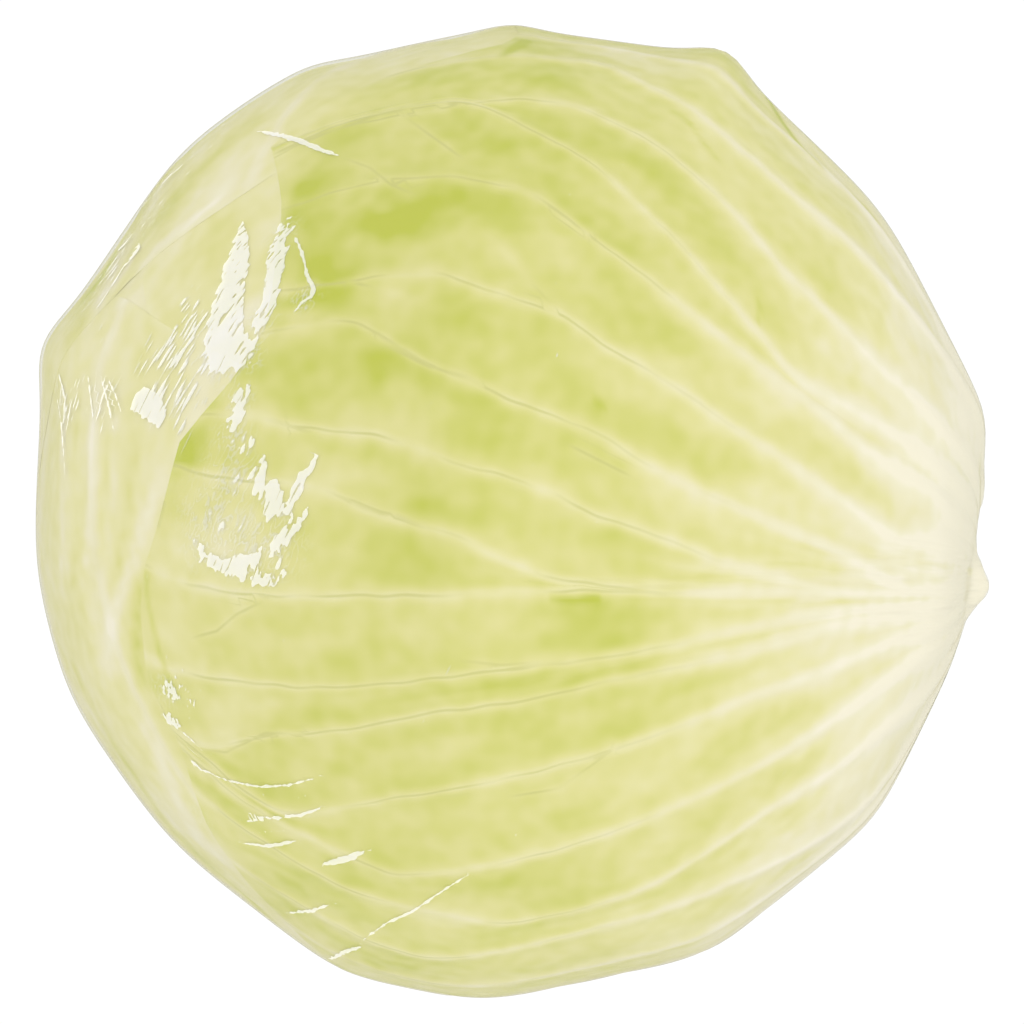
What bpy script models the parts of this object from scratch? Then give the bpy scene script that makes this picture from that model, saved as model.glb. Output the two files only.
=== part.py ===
"""White cabbage: a firm round head in clear film, lying on its side.

The head is a nest of star-shaped shells. Every surface is the outer skin of the wrapped head,
taken some depth further in, so the pieces follow each other like the leaves of a real head.
Lengths are in millimetres and angles in degrees until a mesh is made.

Head frame: x to the right, y away from the viewer, z up the picture. The stem points right,
a little down and away. STEM is its axis, and a place on the head is given by its angle from
the stem and its azimuth about it, 0 towards the viewer and 90 upwards.
"""

import math

import bpy
import numpy as np

METRES = 0.001

# Size and stance of the whole head
BALL_RADIUS = 84.2
HEAD_PITCH = 12.0
FLOOR_DISTANCE = 82.6

# Direction of the cut stem
STEM_AWAY = 8.0
STEM_DOWN = 8.0

# Flats of the skin where it turns out of sight, as (direction round the outline, distance)
OUTLINE_FLATS = (
    (-6, 81.8), (27, 82.4), (46.5, 83.5), (82, 84.2), (102.5, 83.7), (125, 85.6), (146, 84.0),
    (177, 83.6), (195, 84.0), (215, 83.0), (232.5, 83.2), (258, 86.1), (282, 83.8),
    (309, 82.8), (334, 81.7),
)
OUTLINE_LATITUDE = 5.0
OUTLINE_REACH = 20.0
FILM_SHARPNESS = 60.0
LEAF_SHARPNESS = 36.0

# Softer flats over the rest of the head
OTHER_FLATS = 90
OTHER_FLAT_DISTANCE = 83.6
OTHER_FLAT_SPREAD = 0.7
OTHER_FLAT_SHARE = 0.35
OTHER_FLAT_TILT = 0.06
SEED = 11

# Extra height of the sharpest corners, as (direction round the outline, height, width)
OUTLINE_CORNERS = ((65, 1.9, 4.0), (90, 0.9, 4.0), (160.5, 1.3, 5.0), (114, 0.5, 4.0))

# Bulge of a leaf stalk at the stem, and the hollow round the cut
STALK_ANGLE = 13.0
STALK_WIDTH = 3.4
FILM_STALK_WIDTH = 4.4
HOLLOW_DEPTH = 2.5
HOLLOW_START = 5.0
HOLLOW_END = 13.0

# Film, which dips a little between the ribs and just past the front leaf's margin
FILM_THICKNESS = 0.6
FILM_RELIEF_SHARE = 0.85
FILM_STEP = 1.3
FILM_STEP_WIDTH = 1.6
FILM_STEP_REACH = 12.0
FILM_STEP_FROM = (40.0, 60.0)
FILM_FLAT_NEAR_FLOOR = (6.0, 4.0)
FILM_OPENING = 6.2
FILM_OPENING_ROWS = 2
FILM_LAST = 173.0
FILM_CROWN_ROWS = 8
FILM_BACK_COLUMNS = 13

# Gaps between the pieces
FILM_GAP = 0.6
LEAF_GAP = 1.8
HEAD_GAP = 2.0
STEM_GAP = 0.4

# Front leaf: thickness of the blade, height of its ribs at the stem and far from it
FRONT_BLADE = 0.9
FRONT_RIB_NEAR = 2.6
FRONT_RIB_FAR = 1.0
FRONT_ROWS = 17
RIB_FADE_ANGLE = 60.0
FRONT_START = 11.0
RIB_HALF_WIDTH_NEAR = 3.0
RIB_HALF_WIDTH_FAR = 1.7
RIB_RISE_BEFORE = 6.0
RIB_RISE_AFTER = 2.0
ROW_CROWDING = 1.2

# Azimuth of each rib of the front leaf against the angle from the stem. The list runs from
# the upper edge of the leaf to the lower one, and a rib starts at its first point.
FRONT_MIDRIB = 10
FRONT_LINES = (
    ((10, 60), (35, 67), (55, 76), (75, 82), (100, 85)),
    ((10, 54), (50, 61), (70, 68), (90, 76)),
    ((10, 48), (50, 45), (65, 49), (80, 58), (90, 67)),
    ((10, 32), (39, 26), (54, 28), (68, 35), (80, 46), (94, 55)),
    ((10, 24), (40, 18), (66, 21), (77, 30), (91, 43), (107, 56)),
    ((10, 16), (30, 12), (55, 15), (75, 23), (89, 31), (98, 38), (107, 42)),
    ((10, 8), (49, 4), (68, 11), (83, 17), (96, 23), (108, 27), (119, 27)),
    ((45, -4), (56, 0), (77, 5), (94, 11), (106, 14), (118, 21)),
    ((58, -5), (76, -2), (97, 3), (111, 6), (130, 8)),
    ((82, -7), (91, -7), (104, -4), (120, -1)),
    ((10, -5), (65, -5), (98, -9), (120, -15), (139, -20)),
    ((40, -6), (62, -8), (90, -16), (112, -24), (124, -29), (138, -37)),
    ((30, -7), (55, -9), (86, -18), (103, -25), (121, -36), (129, -46)),
    ((10, -12), (44, -12), (68, -19), (90, -30), (106, -38), (117, -47)),
    ((10, -20), (39, -17), (62, -28), (81, -38), (102, -49)),
    ((10, -30), (44, -30), (60, -37), (73, -47), (89, -55)),
    ((10, -40), (42, -50), (63, -51), (77, -55), (95, -66)),
    ((10, -47), (42, -60), (70, -66), (95, -76)),
    ((10, -54), (40, -73), (70, -81), (92, -88)),
    ((10, -60), (40, -84), (70, -94), (90, -99)),
    ((10, -66), (40, -92), (70, -105), (95, -108)),
)

# Far margin of the front leaf: angle from the stem against azimuth
FRONT_MARGIN = (
    (-110, 78), (-103, 89), (-95, 97), (-86, 103), (-79, 108), (-73, 116), (-65, 122),
    (-58, 127), (-49, 131), (-42, 138), (-31, 141), (-19, 142), (-7, 140), (4, 139), (12, 134),
    (20, 129), (41, 128), (60, 130), (66, 118), (72, 99), (90, 98),
)
LINE_SPACING_NEAR = 1.5
LINE_SPACING_FAR = 2.4
LINE_SPACING_GROWS = (10.0, 50.0)

# Other wrapper leaves, from the outside in: name, azimuth of the midrib, angle from the stem
# to the leaf's middle, reach to the tip and to the sides, first angle
WRAPPER_LEAVES = (
    ("leaf_upper_back", 137.5, 80.0, 104.0, 66.0, 11.5),
    ("leaf_lower", -85.0, 95.0, 102.0, 76.0, 12.0),
    ("leaf_upper_front", 52.5, 78.0, 72.0, 70.0, 12.4),
    ("leaf_back", -170.0, 80.0, 78.0, 72.0, 12.8),
)
WRAPPER_BLADE = 0.8
WRAPPER_RIB_NEAR = 1.2
WRAPPER_RIB_FAR = 0.3
WRAPPER_RIBS = 11
WRAPPER_ROWS = 17
WRAPPER_WAVE = 1.6
WRAPPER_WAVES = ((5.0, 1.0), (9.0, 0.6))
WRAPPER_ROW_BEND = 1.35
STALK_SPREAD = 52.0
FAN_SPREAD = 148.0

# Bulges of the stalks, as (azimuth, height)
STALKS = ((-5, 3.3), (137.5, 2.0), (-85, 2.0), (52.5, 0.8), (-170, 1.6))

# How far past a leaf's margin the layer below takes to come up to the film
MARGIN_CLEAR = 7.0
MARGIN_RAMP = 34.0

# Cut stem and inner head, which has a flat for the stem to stand on
SEAT_DISTANCE = 70.5
STEM_RADIUS = 14.2
STEM_LENGTH = 7.0
STEM_SIDES = 32
STEM_EDGE = 1.2
STEM_TAPER = 0.4
STEM_HOLLOW = 0.5
HEAD_SEGMENTS = 34
HEAD_RINGS = 18

COLOURS = {
    "film_wrap": (0.86, 0.87, 0.80),
    "leaf_front": (0.70, 0.72, 0.36),
    "leaf_upper_back": (0.72, 0.70, 0.42),
    "leaf_lower": (0.78, 0.75, 0.48),
    "leaf_upper_front": (0.72, 0.71, 0.42),
    "leaf_back": (0.72, 0.70, 0.42),
    "head": (0.84, 0.82, 0.60),
    "cut_stem": (0.88, 0.86, 0.72),
}


def unit(vectors):
    return vectors / np.linalg.norm(vectors, axis=-1, keepdims=True)


def smooth(low, high, value):
    step = np.clip((value - low) / (high - low), 0.0, 1.0)
    return step * step * (3.0 - 2.0 * step)


def stem_axes():
    """The stem's axis, and the two directions across it, towards the viewer and upwards."""
    away = math.radians(STEM_AWAY)
    down = math.radians(STEM_DOWN)
    axis = np.array([
        math.cos(away) * math.cos(down),
        math.sin(away) * math.cos(down),
        -math.sin(down),
    ])
    viewer = np.array([0.0, -1.0, 0.0])
    front = unit(viewer - axis * np.dot(viewer, axis))
    upper = np.cross(front, axis)
    return axis, front, upper


STEM, FRONT, UPPER = stem_axes()


def from_stem(angle, azimuth):
    """Unit directions at these angles from the stem and azimuths about it."""
    angle = np.radians(angle)[..., None]
    azimuth = np.radians(azimuth)[..., None]
    across = np.cos(azimuth) * FRONT + np.sin(azimuth) * UPPER
    return np.cos(angle) * STEM + np.sin(angle) * across


def to_stem(directions):
    """Angle from the stem and azimuth about it of unit directions."""
    angle = np.degrees(np.arccos(np.clip(directions @ STEM, -1.0, 1.0)))
    azimuth = np.degrees(np.arctan2(directions @ UPPER, directions @ FRONT))
    return angle, azimuth


def flats_of_the_head():
    """Normals and distances of the skin's flats: the outline's, then softer ones all over."""
    generator = np.random.default_rng(SEED)
    latitude = math.radians(OUTLINE_LATITUDE)
    outline = []
    for direction, distance in OUTLINE_FLATS:
        turn = math.radians(direction)
        normal = (
            math.cos(turn) * math.cos(latitude),
            -math.sin(latitude),
            math.sin(turn) * math.cos(latitude),
        )
        outline.append((np.array(normal), distance))
    others = []
    golden = math.pi * (3.0 - math.sqrt(5.0))
    for index in range(OTHER_FLATS):
        depth = 1.0 - 2.0 * (index + 0.5) / OTHER_FLATS
        ring = math.sqrt(1.0 - depth * depth)
        turn = golden * index
        normal = np.array([ring * math.cos(turn), depth, ring * math.sin(turn)])
        normal = unit(normal + generator.normal(0.0, OTHER_FLAT_TILT, 3))
        distance = OTHER_FLAT_DISTANCE + generator.normal(0.0, OTHER_FLAT_SPREAD)
        others.append((normal, distance))
    return outline, others


OUTLINE_PLANES, OTHER_PLANES = flats_of_the_head()


def rounded_solid(directions, planes, sharpness):
    """Radius of a many-sided solid whose corners are rounded."""
    normals = np.array([plane[0] for plane in planes])
    distances = np.array([plane[1] for plane in planes])
    closeness = np.maximum(directions @ normals.T, 0.0) / distances
    return np.sum(closeness ** sharpness, axis=-1) ** (-1.0 / sharpness)


def arc_gap(first, second):
    """Signed turn in degrees from one angle to another."""
    return (first - second + 180.0) % 360.0 - 180.0


def stalk_bulge(directions, azimuth, height, width):
    """A leaf stalk's bulge beside the cut stem."""
    middle = from_stem(np.array(STALK_ANGLE), np.array(azimuth))
    distance = BALL_RADIUS * np.linalg.norm(directions - middle, axis=-1)
    return height * np.exp(-(distance / width) ** 2)


def skin_radius(directions, film=False):
    """Radius of the head's skin before it is flattened by the surface it lies on.

    The film spans the corners tighter than the leaves under it bend."""
    sharpness = FILM_SHARPNESS if film else LEAF_SHARPNESS
    stalk_width = FILM_STALK_WIDTH if film else STALK_WIDTH
    turn = np.degrees(np.arctan2(directions[..., 2], directions[..., 0]))
    latitude = np.degrees(np.arcsin(np.clip(-directions[..., 1], -1.0, 1.0)))
    at_outline = np.exp(-((latitude - OUTLINE_LATITUDE) / OUTLINE_REACH) ** 2)
    level = unit(np.stack([
        directions[..., 0],
        np.full_like(turn, -math.tan(math.radians(OUTLINE_LATITUDE)))
        * np.hypot(directions[..., 0], directions[..., 2]),
        directions[..., 2],
    ], axis=-1))
    outline = rounded_solid(level, OUTLINE_PLANES, sharpness)
    if film:
        for direction, height, width in OUTLINE_CORNERS:
            outline = outline + height * np.exp(-(arc_gap(turn, direction) / width) ** 2)
    elsewhere = (1.0 - OTHER_FLAT_SHARE) * BALL_RADIUS
    elsewhere = elsewhere + OTHER_FLAT_SHARE * rounded_solid(directions, OTHER_PLANES, sharpness)
    radius = elsewhere + at_outline * (outline - elsewhere)
    for azimuth, height in STALKS:
        radius = radius + stalk_bulge(directions, azimuth, height, stalk_width)
    angle, _ = to_stem(directions)
    return radius - HOLLOW_DEPTH * (1.0 - smooth(HOLLOW_START, HOLLOW_END, angle))


def downward(directions):
    """How far each direction points down in the world, 1 straight down."""
    pitch = math.radians(HEAD_PITCH)
    return directions[..., 1] * math.sin(pitch) - directions[..., 2] * math.cos(pitch)


def resting_radius(directions, film=False):
    """The skin's radius, cut flat where the head lies on the surface."""
    below = np.maximum(downward(directions), 1e-3)
    return np.minimum(skin_radius(directions, film), FLOOR_DISTANCE / below)


def line_azimuth(index, angle):
    """Azimuth of one line of the front leaf, which joins the midrib before its first point."""
    points = np.array(FRONT_LINES[index], dtype=float)
    return np.interp(angle, points[:, 0], points[:, 1])


def rib_height(angle, near, far):
    return far + (near - far) * np.exp(-angle / RIB_FADE_ANGLE)


def front_ridges(angle, azimuth):
    """How much of a rib there is at a place on the front leaf, 0 in the blade and 1 on a rib."""
    width = RIB_HALF_WIDTH_FAR + (RIB_HALF_WIDTH_NEAR - RIB_HALF_WIDTH_FAR) * np.exp(
        -angle / RIB_FADE_ANGLE
    )
    ring = BALL_RADIUS * np.sin(np.radians(angle)) * math.pi / 180.0
    ridge = np.zeros_like(angle)
    for index in range(1, len(FRONT_LINES) - 1):
        first = FRONT_LINES[index][0][0]
        grown = smooth(first - RIB_RISE_BEFORE, first + RIB_RISE_AFTER, angle)
        distance = np.abs(azimuth - line_azimuth(index, angle)) * ring
        ridge = np.maximum(ridge, grown * np.exp(-(distance / width) ** 2))
    return ridge


def front_columns(angle):
    """Azimuths of the mesh columns at one angle: each line, and one midway between two.

    Lines that have merged with the midrib are kept a small distance apart."""
    lines = [float(line_azimuth(index, angle)) for index in range(len(FRONT_LINES))]
    far = smooth(*LINE_SPACING_GROWS, angle)
    spacing = LINE_SPACING_NEAR + (LINE_SPACING_FAR - LINE_SPACING_NEAR) * far
    step = spacing / (BALL_RADIUS * math.sin(math.radians(angle)) * math.pi / 180.0)
    for index in range(FRONT_MIDRIB - 1, -1, -1):
        lines[index] = max(lines[index], lines[index + 1] + step)
    for index in range(FRONT_MIDRIB + 1, len(lines)):
        lines[index] = min(lines[index], lines[index - 1] - step)
    columns = []
    for first, second in zip(lines, lines[1:]):
        columns.append(first)
        columns.append(0.5 * (first + second))
    columns.append(lines[-1])
    return np.array(columns)


def front_margin(azimuth):
    points = np.array(FRONT_MARGIN, dtype=float)
    return np.interp(azimuth, points[:, 0], points[:, 1])


def front_fan():
    """Mesh columns of the front leaf: azimuths at closely spaced angles, and where each ends."""
    scan = np.arange(FILM_OPENING, 179.0, 0.25)
    table = np.array([front_columns(angle) for angle in scan])
    ends = []
    for column in range(table.shape[1]):
        outside = scan > front_margin(table[:, column])
        ends.append(scan[np.argmax(outside)])
    return scan, table, np.array(ends)


def front_rows(ends):
    """Angles of the front leaf's rows, from its foot to the end of each column."""
    steps = np.linspace(0.0, 1.0, FRONT_ROWS) ** ROW_CROWDING
    return FRONT_START + steps[:, None] * (ends[None, :] - FRONT_START)


def front_leaf_grid():
    """Directions of the front leaf's mesh, a row for each step out from the stem."""
    scan, table, ends = front_fan()
    angle = front_rows(ends)
    azimuth = np.empty_like(angle)
    for column in range(angle.shape[1]):
        azimuth[:, column] = np.interp(angle[:, column], scan, table[:, column])
    return from_stem(angle, azimuth)


def wrapper_axes(leaf):
    """Middle of a wrapper leaf, and its directions away from the stem and across."""
    across = math.radians(leaf[1])
    side = math.cos(across) * FRONT + math.sin(across) * UPPER
    reach = math.radians(leaf[2])
    middle = math.cos(reach) * STEM + math.sin(reach) * side
    outward = -math.sin(reach) * STEM + math.cos(reach) * side
    return middle, outward, np.cross(outward, middle)


def wrapper_outline(leaf, turn):
    """Reach in degrees from a wrapper leaf's middle to its waved edge."""
    toward_tip = 0.5 * (1.0 + np.cos(np.radians(turn)))
    reach = leaf[4] + (leaf[3] - leaf[4]) * toward_tip ** 2
    phase = leaf[1]
    wave = 0.0
    for number, height in WRAPPER_WAVES:
        wave = wave + height * np.sin(np.radians(number * (turn + phase)))
    return reach + WRAPPER_WAVE * wave * smooth(0.0, 0.3, toward_tip)


def wrapper_leaf_grid(leaf):
    """Directions of a wrapper leaf's mesh: a fan of ribs from the stem to the edge."""
    middle, outward, across = wrapper_axes(leaf)
    columns = 2 * WRAPPER_RIBS + 1
    share = np.linspace(-1.0, 1.0, columns)
    base = from_stem(np.full(columns, leaf[5]), leaf[1] + STALK_SPREAD * share)
    base_reach = np.degrees(np.arccos(np.clip(base @ middle, -1.0, 1.0)))
    base_turn = np.arctan2(base @ across, base @ outward)
    base_x = base_reach * np.cos(base_turn)
    base_y = base_reach * np.sin(base_turn)
    turn = FAN_SPREAD * share * (0.8 + 0.2 * np.abs(share))
    edge = wrapper_outline(leaf, turn)
    edge_x = edge * np.cos(np.radians(turn))
    edge_y = edge * np.sin(np.radians(turn))
    steps = np.linspace(0.0, 1.0, WRAPPER_ROWS)[:, None]
    x = base_x + (edge_x - base_x) * steps
    y = base_y + (edge_y - base_y) * steps ** WRAPPER_ROW_BEND
    reach = np.radians(np.hypot(x, y))[..., None]
    heading = np.arctan2(y, x)[..., None]
    sideways = np.cos(heading) * outward + np.sin(heading) * across
    return np.cos(reach) * middle + np.sin(reach) * sideways


def border_of(grid):
    """The closed border of a grid of directions, with extra points along each edge."""
    loop = np.concatenate([grid[0, :-1], grid[:-1, -1], grid[-1, :0:-1], grid[:0:-1, 0]])
    following = np.roll(loop, -1, axis=0)
    pieces = [loop + (following - loop) * part for part in np.linspace(0.0, 1.0, 7)[:-1]]
    return unit(np.stack(pieces, axis=1).reshape(-1, 3))


def flat_chart(directions, middle, outward, across):
    """Directions laid out flat round a middle, true in distance from it."""
    reach = np.arccos(np.clip(directions @ middle, -1.0, 1.0))
    turn = np.arctan2(directions @ across, directions @ outward)
    return reach * np.cos(turn), reach * np.sin(turn)


def margin_distance(directions, leaf_grid):
    """Distance in millimetres to a leaf's border, positive inside the leaf."""
    border = border_of(leaf_grid)
    nearest = np.max(directions @ border.T, axis=-1)
    distance = BALL_RADIUS * np.arccos(np.clip(nearest, -1.0, 1.0))
    middle = unit(leaf_grid.reshape(-1, 3).mean(axis=0))
    outward = unit(np.cross(np.cross(middle, STEM), middle))
    across = np.cross(middle, outward)
    px, py = flat_chart(directions, middle, outward, across)
    bx, by = flat_chart(border, middle, outward, across)
    inside = np.zeros(px.shape, dtype=bool)
    for index in range(len(bx)):
        x1, y1 = bx[index - 1], by[index - 1]
        x2, y2 = bx[index], by[index]
        if y1 == y2:
            continue
        crosses = (y1 > py) != (y2 > py)
        inside ^= crosses & (px < (x2 - x1) * (py - y1) / (y2 - y1) + x1)
    return np.where(inside, distance, -distance)


def leaf_cover(directions, leaf_grid):
    """1 under a leaf and just past its margin, and 0 where the layer below reaches the film."""
    distance = margin_distance(directions, leaf_grid)
    return smooth(-MARGIN_RAMP, -MARGIN_CLEAR, distance)


def layer_depths(directions, grids):
    """Depth of the top of each layer below the skin: film, front leaf, wrappers, head."""
    angle, _ = to_stem(directions)
    depth = np.full(angle.shape, FILM_THICKNESS + FILM_GAP)
    depths = [np.zeros(angle.shape), depth]
    rise = rib_height(angle, FRONT_RIB_NEAR, FRONT_RIB_FAR) + FRONT_BLADE + LEAF_GAP
    for grid in grids:
        depth = depth + rise * leaf_cover(directions, grid)
        depths.append(depth)
        rise = rib_height(angle, WRAPPER_RIB_NEAR, WRAPPER_RIB_FAR) + WRAPPER_BLADE + LEAF_GAP
    return depths


def in_the_world(points):
    """Points of the head frame, turned by the head's pitch and stood on the surface."""
    pitch = math.radians(HEAD_PITCH)
    x = points[..., 0]
    y = points[..., 1] * math.cos(pitch) + points[..., 2] * math.sin(pitch)
    z = points[..., 2] * math.cos(pitch) - points[..., 1] * math.sin(pitch) + FLOOR_DISTANCE
    z = np.where(np.abs(z) < 1e-6, 0.0, z)
    return np.stack([x, y, z], axis=-1)


def add_object(name, vertices, faces, collection):
    """One named object with its own material, from vertices in the world in millimetres."""
    mesh = bpy.data.meshes.new(name)
    mesh.from_pydata((vertices * METRES).tolist(), [], faces)
    mesh.validate()
    mesh.shade_smooth()
    material = bpy.data.materials.new(name)
    material.use_nodes = True
    surface = material.node_tree.nodes["Principled BSDF"]
    surface.inputs["Base Color"].default_value = (*COLOURS[name], 1.0)
    surface.inputs["Roughness"].default_value = 0.2 if name == "film_wrap" else 0.55
    surface.inputs["Metallic"].default_value = 0.0
    mesh.materials.append(material)
    built = bpy.data.objects.new(name, mesh)
    collection.objects.link(built)
    return built


def sheet_faces(rows, columns, start, flipped, closed=False):
    """Triangles of a grid of points. A closed grid joins its last column to its first."""
    faces = []
    for row in range(rows - 1):
        for column in range(columns if closed else columns - 1):
            following = (column + 1) % columns
            a = start + row * columns + column
            b = start + row * columns + following
            c = start + (row + 1) * columns + following
            d = start + (row + 1) * columns + column
            for face in ((a, b, c), (a, c, d)):
                faces.append(face[::-1] if flipped else face)
    return faces


def add_leaf(name, outer, inner, collection):
    """A leaf as one closed wall between its outer and its inner surface."""
    rows, columns = outer.shape[:2]
    count = rows * columns
    vertices = np.concatenate([outer.reshape(-1, 3), inner.reshape(-1, 3)])
    corner = np.cross(outer[1, 0] - outer[0, 0], outer[0, 1] - outer[0, 0])
    flipped = np.dot(corner, outer[0, 0] - inner[0, 0]) > 0.0
    faces = sheet_faces(rows, columns, 0, flipped)
    faces += sheet_faces(rows, columns, count, not flipped)
    index = np.arange(count).reshape(rows, columns)
    loop = np.concatenate([index[0, :-1], index[:-1, -1], index[-1, :0:-1], index[:0:-1, 0]])
    for first, second in zip(loop, np.roll(loop, -1)):
        first = int(first)
        second = int(second)
        for face in ((second, first, first + count), (second, first + count, second + count)):
            faces.append(face[::-1] if flipped else face)
    return add_object(name, in_the_world(vertices), faces, collection)


def front_leaf(grids, collection):
    directions = grids[0]
    angle, azimuth = to_stem(directions)
    ribs = rib_height(angle, FRONT_RIB_NEAR, FRONT_RIB_FAR)
    top = resting_radius(directions) - layer_depths(directions, grids)[1]
    outer = top - ribs * (1.0 - front_ridges(angle, azimuth))
    inner = top - ribs - FRONT_BLADE
    add_leaf("leaf_front", directions * outer[..., None], directions * inner[..., None], collection)


def wrapper_leaf(number, grids, collection):
    """One of the leaves under the front leaf, ribs standing out between its hollows."""
    directions = grids[number]
    angle, _ = to_stem(directions)
    ribs = rib_height(angle, WRAPPER_RIB_NEAR, WRAPPER_RIB_FAR)
    top = resting_radius(directions) - layer_depths(directions, grids)[number + 1]
    ridge = np.zeros(directions.shape[1])
    ridge[1::2] = 1.0
    outer = top - ribs * (1.0 - ridge)
    inner = top - ribs - WRAPPER_BLADE
    name = WRAPPER_LEAVES[number - 1][0]
    add_leaf(name, directions * outer[..., None], directions * inner[..., None], collection)


def film_grid():
    """Angle and azimuth of the film's points, in columns that run from stem to crown.

    In front the columns and rows are the front leaf's own as far as its margin. Behind, a few
    plain columns close the ring."""
    scan, table, ends = front_fan()
    back_share = np.linspace(0.0, 1.0, FILM_BACK_COLUMNS + 2)[1:-1]
    back_ends = ends[-1] + (ends[0] - ends[-1]) * back_share
    ends = np.concatenate([ends, back_ends])
    opening = np.linspace(FILM_OPENING, FRONT_START, FILM_OPENING_ROWS + 1)[:-1]
    crown = np.linspace(0.0, 1.0, FILM_CROWN_ROWS)[:, None]
    step_end = ends[None, :] + FILM_STEP_WIDTH
    angle = np.concatenate([
        np.repeat(opening[:, None], len(ends), axis=1),
        front_rows(ends),
        step_end + crown * (FILM_LAST - step_end),
    ])
    azimuth = np.empty_like(angle)
    front_count = table.shape[1]
    for column in range(front_count):
        azimuth[:, column] = np.interp(angle[:, column], scan, table[:, column])
    for number, share in enumerate(back_share):
        column = front_count + number
        first = np.interp(angle[:, column], scan, table[:, -1])
        last = np.interp(angle[:, column], scan, table[:, 0]) - 360.0
        azimuth[:, column] = first + (last - first) * share
    return angle, (azimuth + 180.0) % 360.0 - 180.0


def film_relief(directions, angle, azimuth, front_grid):
    """How far the film dips below the skin."""
    distance = margin_distance(directions, front_grid)
    between_ribs = FILM_RELIEF_SHARE * rib_height(angle, FRONT_RIB_NEAR, FRONT_RIB_FAR)
    between_ribs = between_ribs * (1.0 - front_ridges(angle, azimuth))
    between_ribs = between_ribs * smooth(-FILM_STEP_REACH, 0.0, distance)
    past_margin = FILM_STEP * smooth(-FILM_STEP_REACH, -2.0, distance) * (distance < -1.0)
    past_margin = past_margin * smooth(*FILM_STEP_FROM, angle)
    relief = np.maximum(between_ribs, past_margin)
    drop = downward(directions) * skin_radius(directions, film=True)
    past_floor, above_floor = FILM_FLAT_NEAR_FLOOR
    return relief * smooth(FLOOR_DISTANCE + past_floor, FLOOR_DISTANCE - above_floor, drop)


def film_wrap(grids, collection):
    """The film: a skin over the whole head with one gathered opening over the cut stem."""
    angle, azimuth = film_grid()
    directions = from_stem(angle, azimuth)
    radius = np.minimum(
        skin_radius(directions, film=True) - film_relief(directions, angle, azimuth, grids[0]),
        FLOOR_DISTANCE / np.maximum(downward(directions), 1e-3),
    )
    rows, columns = angle.shape
    count = angle.size
    outer = (directions * radius[..., None]).reshape(-1, 3)
    inner = (directions * (radius - FILM_THICKNESS)[..., None]).reshape(-1, 3)
    crown = -STEM * resting_radius(-STEM[None, :], film=True)[0]
    crown_inner = crown * (1.0 - FILM_THICKNESS / np.linalg.norm(crown))
    vertices = np.concatenate([outer, crown[None, :], inner, crown_inner[None, :]])
    faces = sheet_faces(rows, columns, 0, False, closed=True)
    faces += sheet_faces(rows, columns, count + 1, True, closed=True)
    last = (rows - 1) * columns
    for column in range(columns):
        following = (column + 1) % columns
        faces.append((last + column, last + following, count))
        faces.append((count + 1 + last + following, count + 1 + last + column, 2 * count + 1))
        faces.append((following, column, count + 1 + column))
        faces.append((following, count + 1 + column, count + 1 + following))
    add_object("film_wrap", in_the_world(vertices), faces, collection)


def head(grids, collection):
    """The firm inner head, one solid of tightly folded leaves."""
    angles = np.linspace(0.0, 180.0, HEAD_RINGS + 1)[1:-1]
    azimuths = np.arange(HEAD_SEGMENTS) * 360.0 / HEAD_SEGMENTS
    angle, azimuth = np.meshgrid(angles, azimuths, indexing="ij")
    directions = np.concatenate([from_stem(angle, azimuth).reshape(-1, 3), [STEM], [-STEM]])
    radius = resting_radius(directions) - layer_depths(directions, grids)[-1] - HEAD_GAP
    vertices = directions * radius[:, None]
    near = vertices @ STEM > SEAT_DISTANCE
    vertices[near] *= (SEAT_DISTANCE / (vertices[near] @ STEM))[:, None]
    rows = len(angles)
    pole = rows * HEAD_SEGMENTS
    faces = sheet_faces(rows, HEAD_SEGMENTS, 0, True, closed=True)
    for column in range(HEAD_SEGMENTS):
        following = (column + 1) % HEAD_SEGMENTS
        last = (rows - 1) * HEAD_SEGMENTS
        faces.append((column, following, pole))
        faces.append((last + following, last + column, pole + 1))
    add_object("head", in_the_world(vertices), faces, collection)


def cut_stem(collection):
    """The stub of the stem: a turned profile round the stem's axis, cut square."""
    profile = (
        (STEM_GAP, 0.0),
        (STEM_GAP, STEM_RADIUS - STEM_EDGE),
        (STEM_GAP + STEM_EDGE, STEM_RADIUS),
        (STEM_LENGTH - STEM_EDGE, STEM_RADIUS - STEM_TAPER),
        (STEM_LENGTH, STEM_RADIUS - STEM_TAPER - STEM_EDGE),
        (STEM_LENGTH - STEM_HOLLOW, 0.0),
    )
    turns = np.radians(np.arange(STEM_SIDES) * 360.0 / STEM_SIDES)
    rings = []
    for height, radius in profile[1:-1]:
        across = np.cos(turns)[:, None] * FRONT + np.sin(turns)[:, None] * UPPER
        rings.append((SEAT_DISTANCE + height) * STEM + radius * across)
    ends = np.array([(SEAT_DISTANCE + profile[end][0]) * STEM for end in (0, -1)])
    vertices = np.concatenate(rings + [ends])
    rows = len(rings)
    faces = sheet_faces(rows, STEM_SIDES, 0, False, closed=True)
    first = rows * STEM_SIDES
    last = (rows - 1) * STEM_SIDES
    for column in range(STEM_SIDES):
        following = (column + 1) % STEM_SIDES
        faces.append((following, column, first))
        faces.append((last + column, last + following, first + 1))
    add_object("cut_stem", in_the_world(vertices), faces, collection)


def face_outward(built):
    """Turn a closed mesh whose faces all point inward."""
    mesh = built.data
    volume = 0.0
    for polygon in mesh.polygons:
        a, b, c = (mesh.vertices[index].co for index in polygon.vertices)
        volume += a.dot(b.cross(c))
    if volume < 0.0:
        mesh.flip_normals()


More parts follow.
